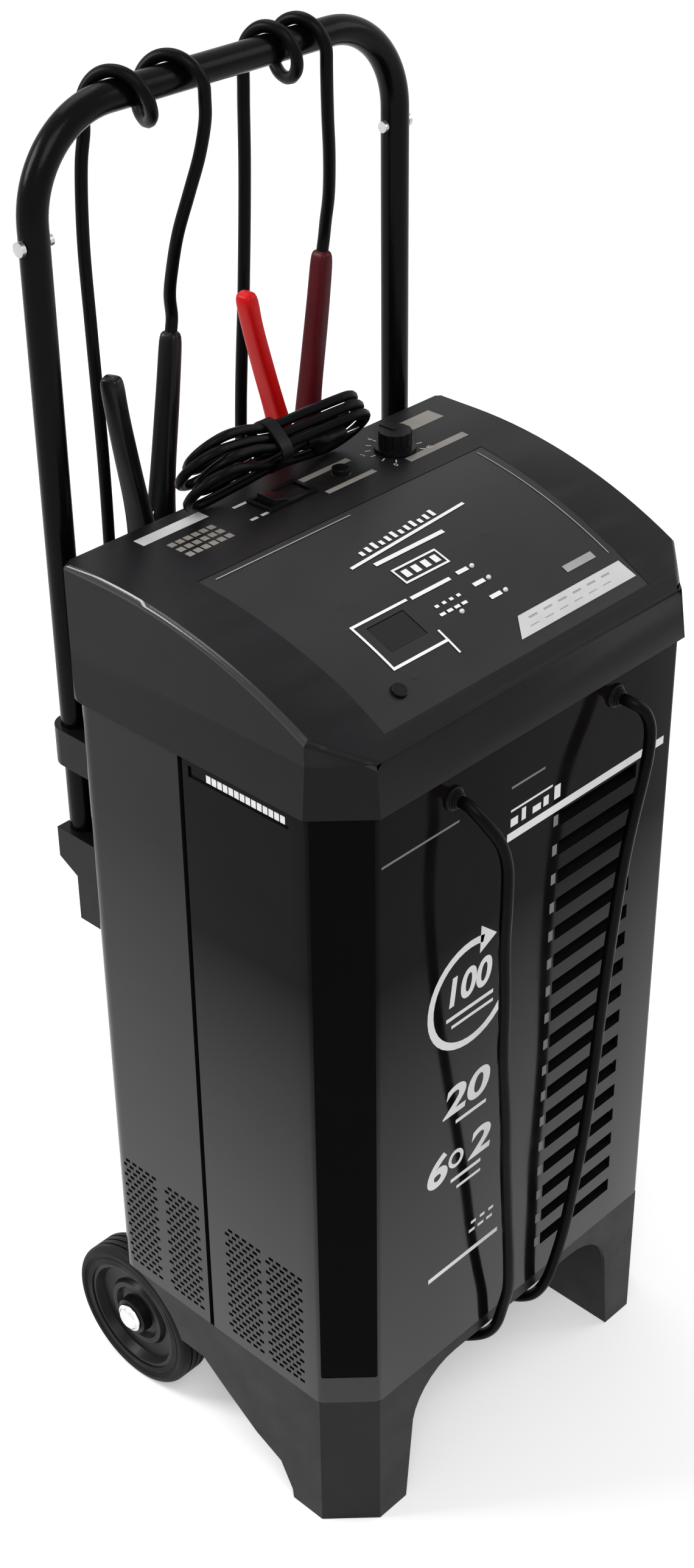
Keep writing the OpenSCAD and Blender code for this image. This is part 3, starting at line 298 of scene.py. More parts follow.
def smooth(piece, angle):
    """Smooth faces with edges over angle degrees kept sharp."""
    mesh = piece.data
    mesh.polygons.foreach_set("use_smooth", [True] * len(mesh.polygons))
    mesh.set_sharp_from_angle(angle=math.radians(angle))
    return piece


def from_faces(name, verts, faces):
    mesh = bpy.data.meshes.new(name)
    mesh.from_pydata(verts, [], faces)
    return bpy.data.objects.new(name, mesh)


def from_bmesh(name, bm):
    """A piece from a bmesh, its faces turned outward."""
    bmesh.ops.recalc_face_normals(bm, faces=bm.faces)
    mesh = bpy.data.meshes.new(name)
    bm.to_mesh(mesh)
    bm.free()
    return bpy.data.objects.new(name, mesh)


def apply_all(piece):
    """Bakes the modifiers into the mesh."""
    if piece.name not in scene.collection.objects:
        scene.collection.objects.link(piece)
    bpy.context.view_layer.update()
    seen = piece.evaluated_get(bpy.context.evaluated_depsgraph_get())
    piece.data = bpy.data.meshes.new_from_object(seen)
    piece.modifiers.clear()
    return piece


def bevel(piece, width, angle, segments=2):
    """Rounds the edges over angle degrees."""
    b = piece.modifiers.new("edges", "BEVEL")
    b.width = width * MM
    b.segments = segments
    b.limit_method = "ANGLE"
    b.angle_limit = math.radians(angle)


def cad_copy(node):
    """A CAD node as a bmesh with flat areas made one face each."""
    bm = bmesh.new()
    bm.from_mesh(nodes[node].data)
    bmesh.ops.remove_doubles(bm, verts=bm.verts, dist=MERGE)
    bmesh.ops.dissolve_limit(bm, angle_limit=math.radians(0.4), verts=bm.verts, edges=bm.edges)
    return bm


def even(piece):
    """Shading normals that follow the large faces."""
    w = piece.modifiers.new("normals", "WEIGHTED_NORMAL")
    w.keep_sharp = True
    apply_all(piece)


def eased(node, slot, width, angle, segments=2, body="charger"):
    """A copy of a CAD node with its moulded edges rounded."""
    piece = from_bmesh(node + "_moulded", cad_copy(node))
    bevel(piece, width, angle, segments)
    apply_all(piece)
    smooth(piece, 50)
    even(piece)
    return place(piece, slot, [node], body)


def circle(n):
    """Cosine and sine of n even turns."""
    return [(math.cos(2 * math.pi * k / n), math.sin(2 * math.pi * k / n)) for k in range(n)]


def squared(v, power):
    """A cosine or sine bent towards a square outline, for powers under 1."""
    return math.copysign(abs(v) ** power, v)


def skin(bm, loops, capped=True):
    """Faces from ring to ring, and over the first and the last."""
    n = len(loops[0])
    for a, b in zip(loops, loops[1:]):
        for k in range(n):
            bm.faces.new([a[k], a[(k + 1) % n], b[(k + 1) % n], b[k]])
    if capped:
        bm.faces.new(loops[0])
        bm.faces.new(loops[-1])


def loft(name, rings):
    """Closed piece through rings of points that P has placed."""
    bm = bmesh.new()
    skin(bm, [[bm.verts.new(v) for v in ring] for ring in rings])
    return from_bmesh(name, bm)


# ---- Cords ----

def through(points, step):
    """Points every few mm on a centripetal Catmull-Rom curve through the given ones."""
    pts = [Vector(p) for p in points]
    pts = [2 * pts[0] - pts[1]] + pts + [2 * pts[-1] - pts[-2]]
    out = []
    for a, b, c, d in zip(pts, pts[1:], pts[2:], pts[3:]):
        t0 = 0.0
        t1 = t0 + (b - a).length ** 0.5
        t2 = t1 + (c - b).length ** 0.5
        t3 = t2 + (d - c).length ** 0.5
        n = max(1, math.ceil((c - b).length / step))
        for i in range(n):
            t = t1 + (t2 - t1) * i / n
            a1 = a * ((t1 - t) / (t1 - t0)) + b * ((t - t0) / (t1 - t0))
            a2 = b * ((t2 - t) / (t2 - t1)) + c * ((t - t1) / (t2 - t1))
            a3 = c * ((t3 - t) / (t3 - t2)) + d * ((t - t2) / (t3 - t2))
            b1 = a1 * ((t2 - t) / (t2 - t0)) + a2 * ((t - t0) / (t2 - t0))
            b2 = a2 * ((t3 - t) / (t3 - t1)) + a3 * ((t - t1) / (t3 - t1))
            out.append(b1 * ((t2 - t) / (t2 - t1)) + b2 * ((t - t1) / (t2 - t1)))
    return out + [pts[-2]]


def soft(points, turns=2):
    """Evens out a dense line, its ends held."""
    for _ in range(turns):
        inner = [(a + 2 * b + c) / 4 for a, b, c in zip(points, points[1:], points[2:])]
        points = [points[0], *inner, points[-1]]
    return points


def tube(name, points, diameter, rings=3):
    """A tube along the points, as one open curve, and its length in metres."""
    line = [P(*p) for p in points]
    curve = bpy.data.curves.new(name, "CURVE")
    curve.dimensions = "3D"
    curve.bevel_depth = diameter / 2 * MM
    curve.bevel_resolution = rings
    curve.use_fill_caps = True
    spline = curve.splines.new("POLY")
    spline.points.add(len(line) - 1)
    for q, p in zip(spline.points, line):
        q.co = (*p, 1)
    spline.use_smooth = True
    piece = bpy.data.objects.new(name, curve)
    return piece, sum((b - a).length for a, b in zip(line, line[1:]))


# Routes of the leads, as in the frame's source
NEGATIVE = [(-76, -6, 577), (-76, -12, 577), (-75, -18, 573), (-71, -24, 564), (-66, -29, 553),
            (-63, -31.8, 538), (-64, -33.6, 515), (-65, -33.6, 480), (-62, -32.8, 435), (-58, -30, 385),
            (-50, -27, 330), (-43, -23, 280), (-36, -20, 230), (-30, -18, 180), (-26, -15, 150),
            (-25, -10, 128), (-27, -6, 109), (-30, 0, 99), (-34, 9, 93), (-38, 22, 87), (-43, 45, 79),
            (-53, 80, 71), (-65, 120, 65), (-78, 165, 63), (-88, 205, 66), (-94, 232, 69), (-98, 252, 76),
            (-101, 265, 92), (-102, 270, 115),
            (-102, 271, 165), (-102, 271, 300), (-101, 271, 450), (-99, 271, 600), (-98, 271, 710),
            (-100, 271, 800), (-101, 271, 860), (-98, 271, 905)]
POSITIVE = [(77, -6, 580), (77, -13, 580), (81, -19, 576), (84, -23, 566), (81, -26, 550),
            (74, -28, 532), (66, -29, 510), (60, -28, 478), (54, -27, 430), (50, -25, 370), (48, -22, 300),
            (43, -20, 240), (38, -18, 200), (35, -15, 166), (31, -12, 140), (27, -8.5, 118), (24, -5, 107),
            (21, 0, 99), (18, 9, 93), (17, 35, 83), (17, 80, 71), (18, 120, 65), (20, 165, 63), (21, 205, 66),
            (22, 232, 69), (22, 252, 76), (22, 265, 92),
            (22, 270, 115), (22, 271, 165), (20, 271, 300), (18, 271, 450), (17, 271, 600), (20, 271, 710),
            (27, 271, 800), (31, 271, 870), (32, 271, 910)]
NEGATIVE_DROP = [(-33, 241, 900), (-38, 247, 875), (-41, 255, 850), (-40, 263, 826), (-38, 269, 806)]
POSITIVE_DROP = [(74, 241, 897), (79, 245, 870), (83, 250, 842), (85, 255, 824)]
# The windings on the bar: loose loops that touch it on top, SLIP being the gap
SLIP = 0.3
WIND_R, TURNS = 2 * LEAD + 0.6, 1.5
WIND_Z = BAR_Z + TUBE_R + LEAD / 2 + SLIP - WIND_R
# Pivot of each clamp, its turn in plan and its lean in degrees
NEGATIVE_POSE = (Vector((-74, 257, 655)), 20, 0)
POSITIVE_POSE = (Vector((53, 254, 675)), 6, -3.5)
# Angle of the cable handle, and distance from the pivot to its end
SPREAD, CLAMP_LEN = 17, 132


def wound(x0, x1):
    """The winding from x0 to x1: up behind the bar, round it, and down in front."""
    n = round(24 * TURNS)
    turn = [math.radians(360 * TURNS * i / n) for i in range(n + 1)]
    loops = [(x0 + (x1 - x0) * i / n, HANDLE_D + WIND_R * math.cos(a), WIND_Z + WIND_R * math.sin(a))
             for i, a in enumerate(turn)]
    return [(x0, HANDLE_D + WIND_R, WIND_Z - LEAD), *loops, (x1, HANDLE_D - WIND_R, WIND_Z - LEAD)]


def clamp_way(pose):
    """Direction from a clamp's pivot to the end of its cable handle."""
    a, t = math.radians(SPREAD + pose[2]), math.radians(pose[1])
    return Vector((math.sin(a) * math.cos(t), math.sin(a) * math.sin(t), math.cos(a)))


def lead(name, path, wind, drop, pose):
    """A whole lead: from its gland, round the bar and down into its clamp."""
    way, below = clamp_way(pose), Vector((0, 0, 10))
    tip = pose[0] + CLAMP_LEN * way
    end = [tip + 9.6 * way, tip, tip - 12 * way]
    points = [*path, Vector(wind[0]) - below, *wind, Vector(wind[-1]) - below, *drop, *end]
    return tube(name, soft(through(points, 2.5), 3), LEAD)


negative_cord, negative_long = lead("negative_cord", NEGATIVE, wound(-94, -30), NEGATIVE_DROP, NEGATIVE_POSE)
positive_cord, positive_long = lead("positive_cord", POSITIVE, wound(33, 71), POSITIVE_DROP, POSITIVE_POSE)
place(negative_cord, "cord", ["negative_lead", "negative_winding", "negative_drop"])
place(positive_cord, "cord", ["positive_lead", "positive_winding", "positive_drop"])

# Mains hank: the same loops as in the frame's source, HANK_TUCK being how far in each fold on the left ends
HANK_X, HANK_MID, HANK_STEP, HANK_TURNS, HANK_HALF, LEAN = -8, 216.5, 7.2, 3, 56, math.radians(40)
HANK_DEEP = HANK_TURNS * HANK_STEP / 2
HANK_D = HANK_MID - HANK_DEEP
HANK_TUCK = (0, 13, 4, 16)
# Radius of a fold, and half the height where the tie draws the loops in
FOLD, WAIST = 3 * MAINS, 8.5
HANK_Z = LID_TOP_Z + SLIP + MAINS / 2 + FOLD * math.cos(LEAN) + HANK_DEEP * math.sin(LEAN)
PLUG_X, PLUG_D = 18, HANK_D + 0.5 * HANK_STEP
GLAND, GLAND_LEN = (-2, 560), 24
MAINS_PATH = [(7, 261, 665), (7, 270, 645), (4, 277, 622), (0, 280, 600), (-2, 277, 580), (-2, 268, 567)]


def hank_left(k):
    """Half length of layer k on its left, where its fold is tucked in."""
    return HANK_HALF - HANK_TUCK[k]


def hank_height(x, k):
    """Half height of the loop at x, smallest under the tie."""
    half = hank_left(k) if x < 0 else HANK_HALF
    return FOLD - (FOLD - WAIST) * math.cos(math.radians(90 * x / half)) ** 2


def leaned(x, d, z):
    """A point of the upright hank, carried over to the hank that leans forwards."""
    d, h = d - HANK_MID, z - HANK_Z
    c, s = math.cos(LEAN), math.sin(LEAN)
    return (x, HANK_MID + d * c - h * s, HANK_Z + d * s + h * c)


def hank_point(x, d, h):
    return leaned(HANK_X + x, d, HANK_Z + h)


def hank_bend(x, d, a0):
    turn = [math.radians(a0 + 180 * i / 8) for i in range(8)]
    return [hank_point(x + FOLD * math.cos(a), d, FOLD * math.sin(a)) for a in turn]


def hank_loop(k):
    """One loop: fold on the left, low run, fold on the right, high run back."""
    d, left, after = HANK_D + k * HANK_STEP, hank_left(k), hank_left(k + 1)
    low = [hank_point(x, d, -hank_height(x, k)) for x in (-left, -left / 2, 0, HANK_HALF / 2)]
    high = [hank_point(x, d + HANK_STEP * i / 3, hank_height(x, k + 1))
            for i, x in enumerate((HANK_HALF, HANK_HALF / 2, 0, -after / 2))]
    return hank_bend(-left, d, 90) + low + hank_bend(HANK_HALF, d, -90) + high


def ease(t):
    """0 to 1 with a level start and end."""
    return t * t * (3 - 2 * t)


def hank_path():
    tail = PLUG_X - HANK_X
    start = [hank_point(tail, PLUG_D, 0), hank_point(tail - MAINS, PLUG_D, 0)]
    start += [hank_point(tail - MAINS - 22 * t, PLUG_D + (HANK_D - PLUG_D) * ease(t), 0) for t in (0.25, 0.5, 0.75)]
    start += [hank_point(-4 - (HANK_HALF - 4) * t, HANK_D, FOLD * ease(t)) for t in (0.1, 0.25, 0.4, 0.55, 0.7, 0.85)]
    last, left = HANK_D + HANK_TURNS * HANK_STEP, hank_left(HANK_TURNS)
    foot = hank_point(-left, last, -FOLD)
    tail = ((-30, 0.5, 0), (-16, 2.2, -1.6), (-4, 6, -6.5), (3.5, 12, -15.5), (5.5, 15.9, -22.8))
    end = hank_bend(-left, last, 90) + [foot] + [(x, foot[1] + d, foot[2] + z) for x, d, z in tail]
    return start + [p for k in range(HANK_TURNS) for p in hank_loop(k)] + end


def mains():
    """The mains cord, from its gland to the plug."""
    hank = hank_path()
    last, before = Vector(hank[-1]), Vector(hank[-2])
    tip = Vector((GLAND[0], DEEP + GLAND_LEN, GLAND[1]))
    points = [*hank, last + MAINS * (last - before).normalized(), *MAINS_PATH, tip + Vector((0, 8, 0)), tip]
    return tube("mains_cord", soft(through(points, 2.0), 2)[::-1], MAINS)


mains_cord, mains_long = mains()
place(mains_cord, "cord", ["mains_lead", "mains_hank"])


# ---- Housings ----

def cuts(*spans):
    """All ends of the spans, in order and once each."""
    return sorted({round(v, 4) for s in spans for v in s})


def wall_of(bm, a, b, inner_a, inner_b, us, zs, depth_at):
    """Wall from a to b in plan, cut at us along it and at zs in height, with its inner side.

    depth_at(u, z) is 0, or how deep a recess goes, or WALL where the wall is open.
    """
    long = (Vector(b) - Vector(a)).length
    us = cuts([0, long], [u for u in us if 0 < u < long])

    def at(u, t, z):
        outer = Vector(a).lerp(Vector(b), u / long)
        inner = Vector(inner_a).lerp(Vector(inner_b), u / long)
        return bm.verts.new(P(*outer.lerp(inner, t / WALL), z))

    def quad(*corners):
        bm.faces.new([at(*c) for c in corners])

    deep = [[depth_at((u0 + u1) / 2, (z0 + z1) / 2) for u0, u1 in zip(us, us[1:])] for z0, z1 in zip(zs, zs[1:])]
    for j, (z0, z1) in enumerate(zip(zs, zs[1:])):
        for i, (u0, u1) in enumerate(zip(us, us[1:])):
            t = deep[j][i]
            if t < WALL:
                quad((u0, t, z0), (u1, t, z0), (u1, t, z1), (u0, t, z1))
                quad((u0, WALL, z1), (u1, WALL, z1), (u1, WALL, z0), (u0, WALL, z0))
            right = deep[j][i + 1] if i + 1 < len(us) - 1 else t
            if right != t:
                lo, hi = min(t, right), max(t, right)
                quad((u1, lo, z0), (u1, hi, z0), (u1, hi, z1), (u1, lo, z1))
            above = deep[j + 1][i] if j + 1 < len(zs) - 1 else WALL
            if above != t:
                lo, hi = min(t, above), max(t, above)
                quad((u0, lo, z1), (u1, lo, z1), (u1, hi, z1), (u0, hi, z1))
            if j == 0 and t < WALL:
                quad((u0, t, z0), (u0, WALL, z0), (u1, WALL, z0), (u1, t, z0))


def offset_line(line, t):
    """A plan polyline moved inward, to the left of its run, by t."""
    out = []
    for i, p in enumerate(line):
        ways = []
        if i:
            ways.append((Vector(p) - Vector(line[i - 1])).normalized())
        if i + 1 < len(line):
            ways.append((Vector(line[i + 1]) - Vector(p)).normalized())
        normals = [Vector((-w.y, w.x)) for w in ways]
        n = sum(normals, Vector((0, 0))).normalized()
        out.append(tuple(Vector(p) + n * (t / max(0.3, n.dot(normals[0])))))
    return out


def rounded(line, radius):
    """A polyline with its inner corners cut by short arcs."""
    out, steps = [line[0]], 3
    for a, b, c in zip(line, line[1:], line[2:]):
        a, b, c = Vector(a), Vector(b), Vector(c)
        p, q = b + (a - b).normalized() * radius, b + (c - b).normalized() * radius
        for i in range(steps + 1):
            t = i / steps
            out.append(tuple(p * (1 - t) ** 2 + b * 2 * t * (1 - t) + q * t * t))
    return out + [line[-1]]


def spans(start, pitch, n, size):
    """n spans of a size, pitch apart."""
    return [(start + i * pitch, start + i * pitch + size) for i in range(n)]


# Small staggered vent holes in two blocks on each half of a side: heights of their rows, and sizes along a row
VENT_Zs = spans(127, 4.75, 21, 2.5)
HOLE, HOLE_PITCH, HOLES = 4.3, 6.7, 5
# Louvres in the front, one over the other
LOUVRE_Zs, LOUVRE_X = spans(144.5, 22.6, 17, 11), (27, 105)
# Groove near the top of each side
GROOVE_D, GROOVE_Z, GROOVE_DEEP = (43, 127), (581, 589), 1.4
# Recess of the corner inserts: half its width, its foot and its depth
INSERT_HALF, INSERT_Z, INSERT_DEEP = 19.8, 141.7, 2.0
# Fan slots in the back: their middle, reach, pitch and half height
FAN_Z, FAN_R, FAN_PITCH, FAN_SLOT = 250, 42, 9, 2.5


def vent_holes(starts):
    """Spans of depth in even and in odd rows, for blocks that start at the given depths."""
    return [[hole for d in starts for hole in spans(d + shift, HOLE_PITCH, HOLES, HOLE)]
            for shift in (0, HOLE_PITCH / 2)]


def inside(v, ranges):
    return any(a < v < b for a, b in ranges)


def vent_depth(rows):
    """Depth function of a side with its vent holes."""
    def depth(d, z):
        for i, (a, b) in enumerate(VENT_Zs):
            if a < z < b:
                return WALL if inside(d, rows[i % 2]) else 0
        return 0
    return depth


def shell(line, sections, zs):
    """Walls along a plan line. sections gives the cuts and the depth function of a wall, or None."""
    bm = bmesh.new()
    inner = offset_line(line, WALL)
    for i, (a, b) in enumerate(zip(line, line[1:])):
        us, depth = sections(Vector(a), Vector(b)) or ([], lambda u, z: 0)
        wall_of(bm, a, b, inner[i], inner[i + 1], us, zs, depth)
    for a, i in ((line[0], inner[0]), (line[-1], inner[-1])):
        for z0, z1 in zip(zs, zs[1:]):
            bm.faces.new([bm.verts.new(P(*p, z)) for p, z in ((a, z0), (i, z0), (i, z1), (a, z1))])
    bmesh.ops.remove_doubles(bm, verts=bm.verts, dist=1e-5)
    return bm


def housing(name, bm, kind):
    piece = smooth(from_bmesh(name + "_moulded", bm), 30)
    return place(piece, "housing", [name], kind=kind)


def front_housing():
    back = SEAM_D - SEAM_GAP / 2
    line = rounded([(-HALF, back), (-HALF, CORNER), (-HALF + CORNER, 0), (HALF - CORNER, 0), (HALF, CORNER),
                    (HALF, back)], 2.2)
    rows = vent_holes((42.5, 81.5))
    zs = cuts([PANEL_Z, PANEL_Z + 1.2, LAP_Z], *VENT_Zs, *LOUVRE_Zs, GROOVE_Z, [INSERT_Z])
    ds = cuts(GROOVE_D, *rows[0], *rows[1])

    def sections(a, b):
        way = (b - a).normalized()
        if abs(way.y) > 0.99:
            vents = vent_depth(rows)

            def side(u, z):
                d = a.y + u * way.y
                if GROOVE_D[0] < d < GROOVE_D[1] and GROOVE_Z[0] < z < GROOVE_Z[1]:
                    return GROOVE_DEEP
                return vents(d, z)
            return [(d - a.y) / way.y for d in ds], side
        if abs(way.x) > 0.99 and (b - a).length > 100:
            def face(u, z):
                return WALL if LOUVRE_X[0] < a.x + u < LOUVRE_X[1] and inside(z, LOUVRE_Zs) else 0
            return [x - a.x for x in LOUVRE_X], face
        if (b - a).length > 20:
            mid = (b - a).length / 2

            def recess(u, z):
                return INSERT_DEEP if abs(u - mid) < INSERT_HALF and z > INSERT_Z else 0
            return [mid - INSERT_HALF, mid + INSERT_HALF], recess

    bm = shell(line, sections, zs)
    # slanted slat behind each louvre
    for z0, z1 in LOUVRE_Zs:
        profile = [(0.5, z0 - 0.2), (2.0, z0 - 1.2), (13.0, z0 + 2.2), (12.2, z0 + 3.4)]
        skin(bm, [[bm.verts.new(P(x, d, z)) for d, z in profile] for x in (LOUVRE_X[0] - 1, LOUVRE_X[1] + 1)])
    return housing("front_housing", bm, "housing")


def rear_housing():
    front = SEAM_D + SEAM_GAP / 2
    turn = [math.radians(a) for a in range(0, 91, 15)]
    arc = [(HALF - BACK_R + BACK_R * math.cos(a), DEEP - BACK_R + BACK_R * math.sin(a)) for a in turn]
    line = [(HALF, front)] + arc + [(-x, d) for x, d in arc[::-1]] + [(-HALF, front)]
    rows = vent_holes((141.5, 184.5))
    fan = spans(FAN_Z - 4 * FAN_PITCH - FAN_SLOT, FAN_PITCH, 9, 2 * FAN_SLOT)
    reach = [math.sqrt(FAN_R ** 2 - (i * FAN_PITCH) ** 2) for i in range(-4, 5)]
    zs = cuts([PANEL_Z, PANEL_Z + 1.2, LAP_Z], *VENT_Zs, *fan)
    ds = cuts(*rows[0], *rows[1])

    def sections(a, b):
        way = (b - a).normalized()
        if abs(way.y) > 0.99 and (b - a).length > 60:
            vents = vent_depth(rows)
            return [(d - a.y) / way.y for d in ds], lambda u, z: vents(a.y + u * way.y, z)
        if abs(way.x) > 0.99 and (b - a).length > 100:
            def back(u, z):
                x = a.x + u * way.x
                for (z0, z1), r in zip(fan, reach):
                    if z0 < z < z1 and abs(x) < r:
                        return WALL
                return 0
            return [abs(x - a.x) for r in reach for x in (-r, r)], back

    bm = shell(line, sections, zs)
    # tongue behind the seam
    x0, x1, d0, d1 = HALF - 5.2, HALF - 3.4, SEAM_D - 9, SEAM_D + 10
    for s in (-1, 1):
        ends = [(s * x1, d0), (s * x1, d1), (s * x0, d1), (s * x0, d0)]
        skin(bm, [[bm.verts.new(P(x, d, z)) for x, d in ends] for z in (PANEL_Z + 0.2, LAP_Z - 0.2)])
    return housing("rear_housing", bm, "housing_rear")


def lid():
    """The lid with the edges of its crown cut flat and the others rounded."""
    bm = cad_copy("lid_housing")
    bm.normal_update()
    weight = bm.edges.layers.float.new("bevel_weight_edge")
    for e in bm.edges:
        if len(e.link_faces) != 2 or min(v.co.z for v in e.verts) < (LID_FRONT_Z - 8) * MM:
            continue
        side, top = sorted(e.link_faces, key=lambda f: f.normal.z)
        mid = (e.verts[0].co + e.verts[1].co) / 2
        # an outer edge: the side stands nearly upright there and faces away from the middle
        outward = side.normal.x * mid.x + side.normal.y * mid.y > 0.12
        if top.normal.z > 0.7 and abs(side.normal.z) < 0.3 and outward:
            e[weight] = 1.0
    piece = from_bmesh("lid_housing_moulded", bm)
    flat = piece.modifiers.new("flat", "BEVEL")
    flat.width = 3.4 * MM
    flat.segments = 1
    flat.limit_method = "WEIGHT"
    flat.use_clamp_overlap = False
    bevel(piece, 0.8, 50)
    apply_all(piece)
    smooth(piece, 35)
    even(piece)
    return place(piece, "lid", ["lid_housing"])


front_housing()
rear_housing()
lid()
eased("base_tray", "base", 1.2, 30)
eased("console_panel", "console", 0.35, 40)
for side in ("left", "right"):
    eased("corner_insert_" + side, "insert", 0.7, 40)
for node in ("handle_saddles", "handle_sockets"):
    eased(node, "bracket", 1.2, 30, 3)
for node, body in (("rocker_frame", "charger"), ("rocker_switch", "rocker"), ("select_button", "select"),
                   ("breaker_button", "breaker_reset"), ("selector_knob", "knob")):
    eased(node, "control", 0.5, 40, body=body)
eased("display_window", "window", 0.5, 40)


# ---- Prints ----

def on_crown(lift):
    """Places points at a lift over the lid, which is flat behind its crown."""
    def put(x, d):
        a = math.asin((CROWN_D - min(d, CROWN_D)) / CROWN_R)
        return P(x, d - lift * math.sin(a), CROWN_Z + (CROWN_R + lift) * math.cos(a))
    return put


def on_front(x, z):
    return P(x, -0.12, z)


class Print:
    """Thin printed shapes, gathered in one mesh. put(u, v) places a point on the surface."""

    def __init__(self, put):
        self.put, self.verts, self.faces = put, [], []

    def poly(self, *points):
        n = len(self.verts)
        self.verts += [self.put(*p) for p in points]
        self.faces.append(tuple(range(n, n + len(points))))

    def bars(self, *boxes):
        """Boxes from (u0, v0) to (u1, v1)."""
        for u0, v0, u1, v1 in boxes:
            self.poly((u0, v0), (u1, v0), (u1, v1), (u0, v1))

    def row(self, n, pitch, *boxes):
        """The same boxes n times, pitch apart along u."""
        for i in range(n):
            self.bars(*[(u0 + i * pitch, v0, u1 + i * pitch, v1) for u0, v0, u1, v1 in boxes])

    def line(self, points, width):
        """Line with square ends, in short pieces so that it follows a curved surface."""
        for (u0, v0), (u1, v1) in zip(points, points[1:]):
            n = max(1, math.ceil(abs(v1 - v0) / 5))
            w = Vector((u1 - u0, v1 - v0)).normalized() * width / 2
            u0, v0, u1, v1 = u0 - w.x, v0 - w.y, u1 + w.x, v1 + w.y
            mids = [(u0 + (u1 - u0) * i / n, v0 + (v1 - v0) * i / n) for i in range(n + 1)]
            for (a, b), (c, d) in zip(mids, mids[1:]):
                self.poly((a + w.y, b - w.x), (c + w.y, d - w.x), (c - w.y, d + w.x), (a - w.y, b + w.x))

    def ring(self, u, v, r, width, a0=0, a1=360):
        n = max(6, int(40 * (a1 - a0) / 360))
        arc = [math.radians(a0 + (a1 - a0) * i / n) for i in range(n + 1)]
        near, far = r - width / 2, r + width / 2
        for a, b in zip(arc, arc[1:]):
            self.poly(*[(u + q * math.cos(t), v + q * math.sin(t))
                        for t, q in ((a, near), (a, far), (b, far), (b, near))])

    def figures(self, text, u, v, height, slant=0.0, stretch=1.0, bold=0.0):
        """Plain figures, their lower left corner at (u, v)."""
        curve = bpy.data.curves.new("figures", "FONT")
        curve.body = text
        curve.size = height / 0.7
        curve.shear = slant
        curve.offset = bold
        holder = bpy.data.objects.new("figures", curve)
        mesh = bpy.data.meshes.new_from_object(holder)
        for f in mesh.polygons:
            self.poly(*[(u + mesh.vertices[i].co.x * stretch, v + mesh.vertices[i].co.y) for i in f.vertices])
        bpy.data.objects.remove(holder)
        bpy.data.meshes.remove(mesh)
        bpy.data.curves.remove(curve)

    def piece(self, name, kind):
        return place(from_faces(name, self.verts, self.faces), "lamp", kind=kind)


def front_prints():
    white = Print(on_front)
    # circular arrow with a figure in it
    x, z = -56, 421
    white.ring(x, z, 38, 5.5, 72, 331)
    white.poly((x + 9, z + 47), (x + 24, z + 34), (x + 8, z + 26))
    white.figures("100", x - 25.5, z - 1, 21, 0.15, 0.98, 0.9)
    white.bars((x - 23, z - 12.5, x + 22, z - 9.5), (x - 18, z - 19.5, x + 22, z - 17))
    # settings
    white.figures("20", -81, 330, 22, 0.15, 1.4, 0.9)
    white.bars((-68, 319.5, -38, 322.5))
    white.figures("6", -97, 277, 24, 0.15, 1.2, 1.1)
    white.ring(-67, 289, 6, 3)
    white.figures("2", -55, 279, 22, 0.15, 1.4, 0.9)
    white.bars((-72, 270, -42, 273), (-66, 261.5, -42, 264), (-93, 192.6, -22, 196.4))
    white.row(3, 9, (-52, 211, -46, 213.5), (-50, 218, -45, 220.5))
    # heading over the louvres
    white.bars((-25, 519, 133, 525))
    for i, (w, h) in enumerate(((7, 6), (4, 9), (8, 5), (5, 7), (6, 10))):
        white.bars((-22 + i * 10.5, 529, -22 + i * 10.5 + w, 529 + h))
    white.bars((-22, 540, 18, 541.6))
    white.piece("front_prints", "print")
    faint = Print(on_front)
    faint.bars((-138, 557, -70, 558.6), (-22, 557, 10, 558.6))
    # light end of each louvre
    faint.bars(*[(LOUVRE_X[0] - 6.5, z0 + 2, LOUVRE_X[0] - 2, z1 - 1) for z0, z1 in LOUVRE_Zs])
    faint.piece("front_marks", "faint_print")


def side_strips():
    """Light strip in the groove of each side."""
    for s, name in ((-1, "left"), (1, "right")):
        strip = Print(lambda d, z: P(s * (HALF - 1.25), d, z))
        strip.row(14, 4.75, (47, 582.3, 50.9, 587.6))
        strip.piece("side_strip_" + name, "print")


def console_prints():
    white = Print(on_crown(0.14))
    # bracket round the window
    white.line([(-37, 74), (-84, 74), (-84, 40), (-37, 40)], 1.8)
    white.line([(-37, 47), (-37, 31)], 1.6)
    # legends beside the lamps
    white.bars(*[(x - 14, d - 1.4, x - 4, d + 1.4) for x, d in ((27, 50), (25, 62), (23, 74))])
    white.row(4, 6.5, (-27, 54, -22.5, 56), (-25, 60, -22, 62))
    white.bars((-33, 72, 2, 74.5))
    # heading: a rule with plain marks over and under it, and a framed field
    white.line([(-44, 111), (64, 118)], 2.2)
    white.bars(*[(-30 + i * 6.2, 115.5 + i * 0.35, -27 + i * 6.2, 119.5 + (i % 3) + i * 0.35) for i in range(12)])
    white.bars((-30, 104, 32, 107))
    white.line([(-25, 96), (13, 96), (13, 84), (-25, 84), (-25, 96)], 1.5)
    white.row(4, 8.6, (-21, 87, -16, 93))
    white.piece("console_prints", "print")
    # bare label at the front right, with a slanted left end
    label = Print(on_crown(0.12))
    label.poly((7, 19.5), (118, 19.5), (117, 25.5), (12, 25.5))
    label.poly((12, 25.5), (117, 25.5), (116, 32.5), (18, 32.5))
    label.piece("console_label", "label")
    grey = Print(on_crown(0.11))
    grey.row(6, 14, (20, 23.5, 28, 25), (24, 28, 32, 29.3))
    grey.bars((76, 41, 104, 46))
    grey.line([(-118, 151), (-4, 151)], 0.9)
    grey.line([(118, 152), (115, 40)], 0.8)
    grey.piece("console_marks", "grey_print")


